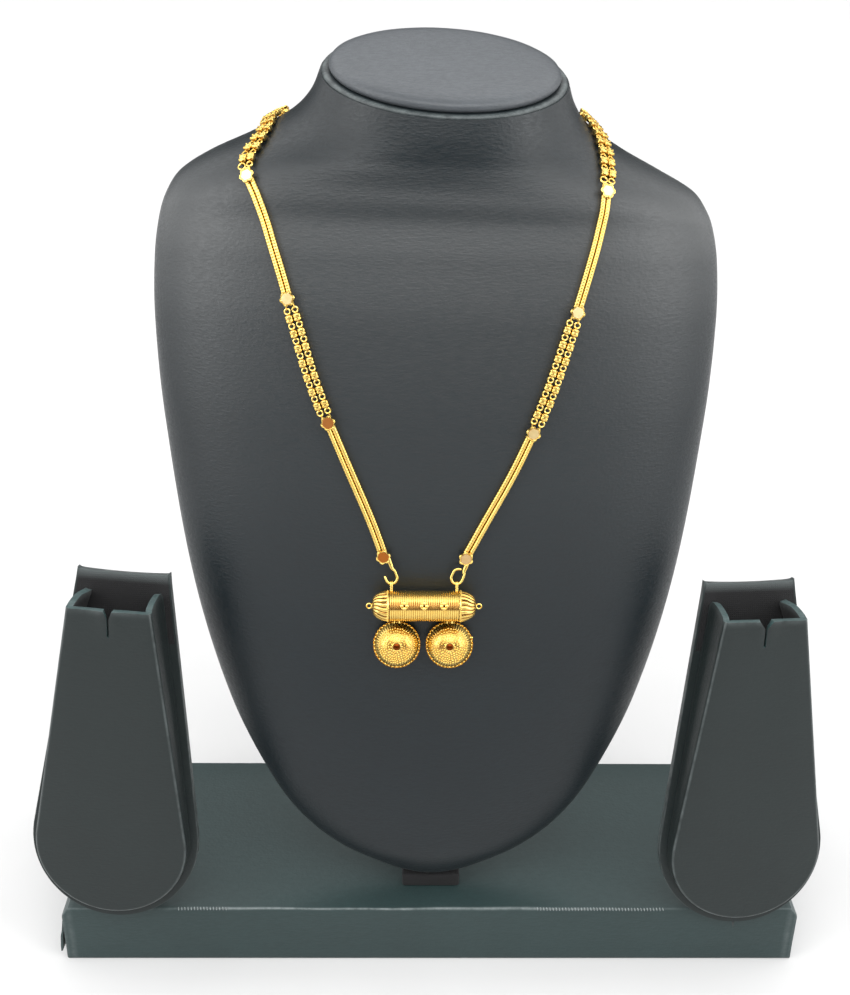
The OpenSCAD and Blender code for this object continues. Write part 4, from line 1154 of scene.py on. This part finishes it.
def cup_form(side):
    """A hollow dome with close rows of granules round a stud, a combed skirt and a beaded rim."""
    form = Form()
    inner = [(7.9, 0.05), (7.8, 0.4)] + [(r, cup_height(r) - 0.8) for r in (7, 6, 5, 4, 3, 2, 1, 0.25)]
    edge = [(CUP_R - 0.35, 0.02), (CUP_R - 0.12, 0.15), (CUP_R, 0.5), (CUP_R, 0.85)]
    skirt, dome = np.linspace(8.6, 6.9, 8), np.linspace(6.6, 0.25, 22)
    profile = np.array(inner[::-1] + edge + [(r, cup_height(r)) for r in np.r_[skirt, dome]])
    first = len(inner) + len(edge)
    on_skirt = np.zeros((len(profile), 1))
    on_skirt[first:first + len(skirt)] = 1
    a = angles(192)
    comb = np.abs(np.sin(24 * a))
    # Painted shade: brown on the dome between the granules and in the skirt's combed grooves, little on the
    # rim's edge
    shade = 0.45 + on_skirt * (0.2 - 0.65 * comb)
    shade[len(inner):first] = 0.1
    loft(form, circle(profile[:, :1], a, profile[:, 1:] + 0.26 * on_skirt * (comb - 0.6)), shade.reshape(-1))
    # A patch of each cup is darker: beside the stud at the right cup, faintly at the left one
    patch_x, darkened = (-3.5, 0.9) if side > 0 else (3.4, 0.4)
    for i, r in enumerate(np.arange(2.1, 6.8, GRANULE_PITCH)):
        count = int(2 * math.pi * r / GRANULE_PITCH)
        for k in range(count):
            # Laid by hand: no granule sits quite in its row
            b = 2 * math.pi * (k + 0.618 * i + 0.16 * math.sin(7.3 * k + 2 * i)) / count
            far = r + 0.14 * math.sin(4.1 * k + 3 * i)
            x, y = far * math.cos(b), far * math.sin(b)
            here = darkened * math.exp(-(((x - patch_x) / 1.3) ** 2 + ((y + 0.2) / 0.9) ** 2))
            ball(form, (x, y, cup_height(far) + 0.04), 0.38, 0.95, 3, 8, here, low=-30)
    balls_round(form, 36, CUP_R - 0.5, 0.95, 0.44, 1, 4, 8)
    if side > 0:
        # One granule has slipped outwards on the right cup's rim
        ball(form, (CUP_R * 0.955, CUP_R * 0.31, 0.9), 0.5, 0.9, 4, 10)
    top = cup_height(0)
    turned(form, [(1.75, top - 0.7, 0.8), (1.75, top + 0.05, 0.3), (1.6, top + 0.15, 0),
                  (1.4, top + 0.1, 0.6)], 24)
    turned(form, [(1.3, top - 0.1, 0.6), (1.3, top + 0.3, 0.1), (1.1, top + 0.42, 0)], 6, finish=1)
    loop = circle(LINK_EYE_R, np.radians(np.linspace(0, 180, 13)), CUP_BACK) + (0, CUP_REACH, 0)
    loop = np.vstack([[LINK_EYE_R, 8.1, CUP_BACK], loop, [-LINK_EYE_R, 8.1, CUP_BACK]])
    tube(form, loop, LINK_EYE_WIRE, 8)
    eye = pendant_frame(CUP_SHIFT + side * CUP_PITCH / 2, -LINK_LOW - LINK_EYE_R - 0.12,
                        BARREL_LIFT - LINK_BACK)
    up, out = leaned(eye, CUP_TILT)
    return form.moved(np.array([eye[0], up, out, eye[3] - up * CUP_REACH - out * CUP_BACK]))


# Floor, lights and camera

def pale_room(scene):
    """Light from all round: pale above and at the sides, less so low behind, and dark on the camera's
    side. The backdrop itself is seen as plain pale paper."""
    world = bpy.data.worlds.new("pale_studio")
    scene.world = world
    world.use_nodes = True
    tree = world.node_tree

    def spread(part, low, high, a, b):
        way = node(tree, "ShaderNodeTexCoord", out="Generated")
        return node(tree, "ShaderNodeMapRange", {
            "Value": node(tree, "ShaderNodeSeparateXYZ", {0: way}, part), "interpolation_type": "SMOOTHSTEP",
            "From Min": low, "From Max": high, "To Min": a, "To Max": b})

    room = spread("Y", -0.8, 0.1, 0.32, 2.3)
    for rule, *values in (("MULTIPLY", "Y", 0.3, 0.75, 1.0, 0.15), ("MAXIMUM", "Z", 0.4, 0.72, 0.0, 2.7),
                          ("MULTIPLY", "Z", 0.82, 0.95, 1.0, 0.3), ("MULTIPLY", "Y", 0.55, 0.9, 1.0, 0.25)):
        room = node(tree, "ShaderNodeMath", {"operation": rule, 0: room, 1: spread(*values)})
    seen = node(tree, "ShaderNodeLightPath", out="Is Camera Ray")
    fill(tree.nodes["Background"], {"Color": node(tree, "ShaderNodeMix", {
        "data_type": "RGBA", 0: seen, 6: room, 7: linear("#ffffff")}, 2)})


def softboxes(scene):
    """A wide soft light from above the camera, and a tall softbox at each side."""
    sky = bpy.data.lights.new("softbox_top", "SUN")
    sky.angle, sky.energy = math.radians(50), 1.1
    lights = [(sky, (0, -0.6, 1))]
    for side, hand in HANDS:
        box = bpy.data.lights.new("softbox_" + hand, "AREA")
        box.shape, box.size, box.size_y, box.energy = "RECTANGLE", 0.7, 1.1, 10.5
        lights.append((box, (side * 1.3, -0.75, 0.75)))
    aim = Vector((0, 0, 0.2))
    for light, at in lights:
        softbox = bpy.data.objects.new(light.name, light)
        softbox.location = at
        softbox.rotation_euler = (aim - Vector(at)).to_track_quat("-Z", "Y").to_euler()
        scene.collection.objects.link(softbox)


def photo_camera(scene):
    """The camera, fitted to the photograph: its place in millimetres, its turns and its focal length."""
    place, turns = (-10.92, -451.5, 420.0), (-0.9, 26.6, 0.7)
    focal, tall = 1300.0, 995.0
    data = bpy.data.cameras.new("camera")
    data.sensor_fit, data.sensor_width = "AUTO", 36.0
    data.lens = focal / tall * data.sensor_width
    data.clip_start, data.clip_end = 0.02, 40
    camera = bpy.data.objects.new("camera", data)
    yaw, pitch, roll = (math.radians(v) for v in turns)
    fwd = Vector((-math.sin(yaw) * math.cos(pitch), math.cos(yaw) * math.cos(pitch), -math.sin(pitch)))
    level = Vector((math.cos(yaw), math.sin(yaw), 0))
    above = level.cross(fwd)
    right = level * math.cos(roll) + above * math.sin(roll)
    up = above * math.cos(roll) - level * math.sin(roll)
    turn = Matrix((right, up, -fwd)).transposed().to_4x4()
    camera.matrix_world = Matrix.Translation(Vector(place) * MM) @ turn
    scene.collection.objects.link(camera)
    scene.camera = camera


# Operators

class MakeBust(bpy.types.Operator):
    """Makes the bust's cover with its turned neck rim, and the cloth on its back."""
    bl_idname = "mangalsutra.bust"
    bl_label = "Neck bust"

    def execute(self, context):
        piece("bust_cover", bust_form(), [finishes().bust], ["neck_bust"], 50)
        piece("bust_back_cloth", back_panel_form(), [finishes().lining], (), 180,
              work=[sheet(0.00012)])
        return {"FINISHED"}


class MakePad(bpy.types.Operator):
    """Makes the stuffed oval on top of the neck."""
    bl_idname = "mangalsutra.pad"
    bl_label = "Neck pad"

    def execute(self, context):
        pad = piece("neck_pad_cover", pad_form(), [finishes().pad], ["neck_pad"], 180)
        return {"FINISHED"}


class MakeBoard(bpy.types.Operator):
    """Makes the covered base board, the loose fold at its end and the seam along its front."""
    bl_idname = "mangalsutra.board"
    bl_label = "Base board"

    def execute(self, context):
        look = finishes()
        piece("board_cover", board_form(), [look.board], ["base_board"], 40, False)
        piece("board_end_flap", flap_form(), [look.board], (), 50, False)
        piece("board_stitches", stitches_form(), [look.thread], (), 180, False)
        return {"FINISHED"}


class MakeFoot(bpy.types.Operator):
    """Makes the foot and leg that prop the bust."""
    bl_idname = "mangalsutra.foot"
    bl_label = "Bust foot"

    def execute(self, context):
        # The foot's dark lining stands in for the shadow under the bust's tip: painted shade
        piece("bust_foot_cover", foot_form(), [finishes().lining], ["bust_foot"], 40, False,
              work=[bevel(0.0012)])
        return {"FINISHED"}


class MakePockets(bpy.types.Operator):
    """Makes the two earring pockets with their panels and blocks."""
    bl_idname = "mangalsutra.pockets"
    bl_label = "Earring pockets"

    def execute(self, context):
        look = finishes()
        # The covers' cut edges take the lit copy of the cloth, a painted highlight
        folded = [sheet(0.0024, use_even_offset=True, material_offset=1, material_offset_rim=2),
                  bevel(0.0007, 55)]
        glued = [sheet(0.003, material_offset_rim=2), bevel(0.0009, 55)]
        for side, hand in HANDS:
            piece("pocket_cover_" + hand, pocket_sheet(side),
                  [look.pocket, look.lining, look.worn_and_sheen], ["pocket_front_" + hand], 50, False, True, folded)
            piece("pocket_panel_" + hand, pocket_back_form(side),
                  [look.pocket, look.lining, look.pocket], ["pocket_back_" + hand], 50, False, True, glued)
            piece("pocket_block_" + hand, block_form(side), [look.lining], (), 40, False, True,
                  [bevel(0.001)])
        return {"FINISHED"}


def strands(first, form_of, chain, finish, node_name, smooth_to):
    """Makes the two strands of every second run between the plates, from the first one given."""
    for k in range(first, len(RUNS), 2):
        for side, place in ((1, "outer"), (-1, "inner")):
            piece(f"{chain}_{RUNS[k]}_{place}", form_of(STOPS[k], STOPS[k + 1], side), [finish],
                  [f"{node_name}_{RUNS[k]}_{place}"], smooth_to)


class MakeSnakeChains(bpy.types.Operator):
    """Makes the ten strands of woven snake chain."""
    bl_idname = "mangalsutra.snake_chains"
    bl_label = "Snake chains"

    def execute(self, context):
        strands(0, snake_form, "snake_chain", finishes().snake, "snake", 180)
        return {"FINISHED"}


class MakeBeadChains(bpy.types.Operator):
    """Makes the eight strands of linked beads."""
    bl_idname = "mangalsutra.bead_chains"
    bl_label = "Bead chains"

    def execute(self, context):
        strands(1, bead_strand_form, "bead_chain", finishes().bead, "beads", 32)
        return {"FINISHED"}


class MakePlates(bpy.types.Operator):
    """Makes the lobed connector plates and the two hooks."""
    bl_idname = "mangalsutra.plates"
    bl_label = "Plates and hooks"

    def execute(self, context):
        look = finishes()
        # How much painted copper-brown reflection each plate's mirror shows
        painted_reflection = {"left": (0.95, 0.12, 0, 0.1), "right": (0.3, 0, 0.15, 0.1)}
        for side, hand in HANDS:
            for i, stain_and_reflection in enumerate(painted_reflection[hand], 1):
                # A plate's eyes point to the run of beads that hangs on it
                way = -side if i % 2 else side
                stop = STOPS[i] if side < 0 else STOPS[-1 - i]
                piece(f"connector_{hand}_{i + 1}", plate_part(way, stain_and_reflection).moved(route_frame(stop)),
                      [look.cast, look.mirror], [f"plate_{hand}_{i + 1}"], 35)
            piece("open_hook_" + hand, hook_form(side), [look.cast, look.mirror],
                  ["hook_" + hand], 35)
        return {"FINISHED"}


class MakePendant(bpy.types.Operator):
    """Makes the ribbed barrel, its fluted caps and the two gold cups."""
    bl_idname = "mangalsutra.pendant"
    bl_label = "Pendant"

    def execute(self, context):
        look = finishes()
        piece("pendant_barrel", barrel_form(), [look.cast, look.stud], ["barrel"], 45)
        for side, hand in HANDS:
            piece("pendant_cap_" + hand, cap_form(side), [look.cast],
                  ["barrel_cap_" + hand], 45)
            piece("gold_cup_" + hand, cup_form(side), [look.cast, look.stud],
                  ["cup_" + hand], 45)
        return {"FINISHED"}


class MakeStage(bpy.types.Operator):
    """Makes the pale floor, the soft lights and the camera."""
    bl_idname = "mangalsutra.stage"
    bl_label = "Floor, lights and camera"

    def execute(self, context):
        scene = context.scene
        mesh = bpy.data.meshes.new("studio_floor")
        reach = 9.0
        corners = [(-reach, -reach, 0), (reach, -reach, 0), (reach, reach, 0), (-reach, reach, 0)]
        mesh.from_pydata(corners, [], [(0, 1, 2, 3)])
        mesh.materials.append(matt_paper("matt_paper_white"))
        floor = bpy.data.objects.new("studio_floor", mesh)
        scene.collection.objects.link(floor)
        pale_room(scene)
        softboxes(scene)
        photo_camera(scene)
        scene.view_settings.view_transform = "Standard"
        return {"FINISHED"}


OPERATORS = (MakeStage, MakeBust, MakePad, MakeBoard, MakeFoot, MakePockets, MakeSnakeChains, MakeBeadChains,
             MakePlates, MakePendant)


class MangalsutraPanel(bpy.types.Panel):
    """Lists the sizes, the colours and the pieces."""
    bl_idname = "VIEW3D_PT_mangalsutra"
    bl_label = "Mangalsutra"
    bl_space_type = "VIEW_3D"
    bl_region_type = "UI"
    bl_category = "Mangalsutra"

    def draw(self, context):
        for group in (context.scene.mangalsutra_stand, context.scene.mangalsutra_necklace):
            box = self.layout.box()
            for name in group.bl_rna.properties.keys():
                if name not in ("rna_type", "name"):
                    box.prop(group, name)
        for operator in OPERATORS:
            self.layout.operator(operator.bl_idname)


CLASSES = (StandSizes, NecklaceSizes, *OPERATORS, MangalsutraPanel)


def register():
    for cls in CLASSES:
        bpy.utils.register_class(cls)
    bpy.types.Scene.mangalsutra_stand = bpy.props.PointerProperty(type=StandSizes)
    bpy.types.Scene.mangalsutra_necklace = bpy.props.PointerProperty(type=NecklaceSizes)


def unregister():
    del bpy.types.Scene.mangalsutra_stand
    del bpy.types.Scene.mangalsutra_necklace
    for cls in reversed(CLASSES):
        bpy.utils.unregister_class(cls)


def main():
    register()
    for operator in OPERATORS:
        group, name = operator.bl_idname.split(".")
        getattr(getattr(bpy.ops, group), name)()


if __name__ == "__main__":
    main()
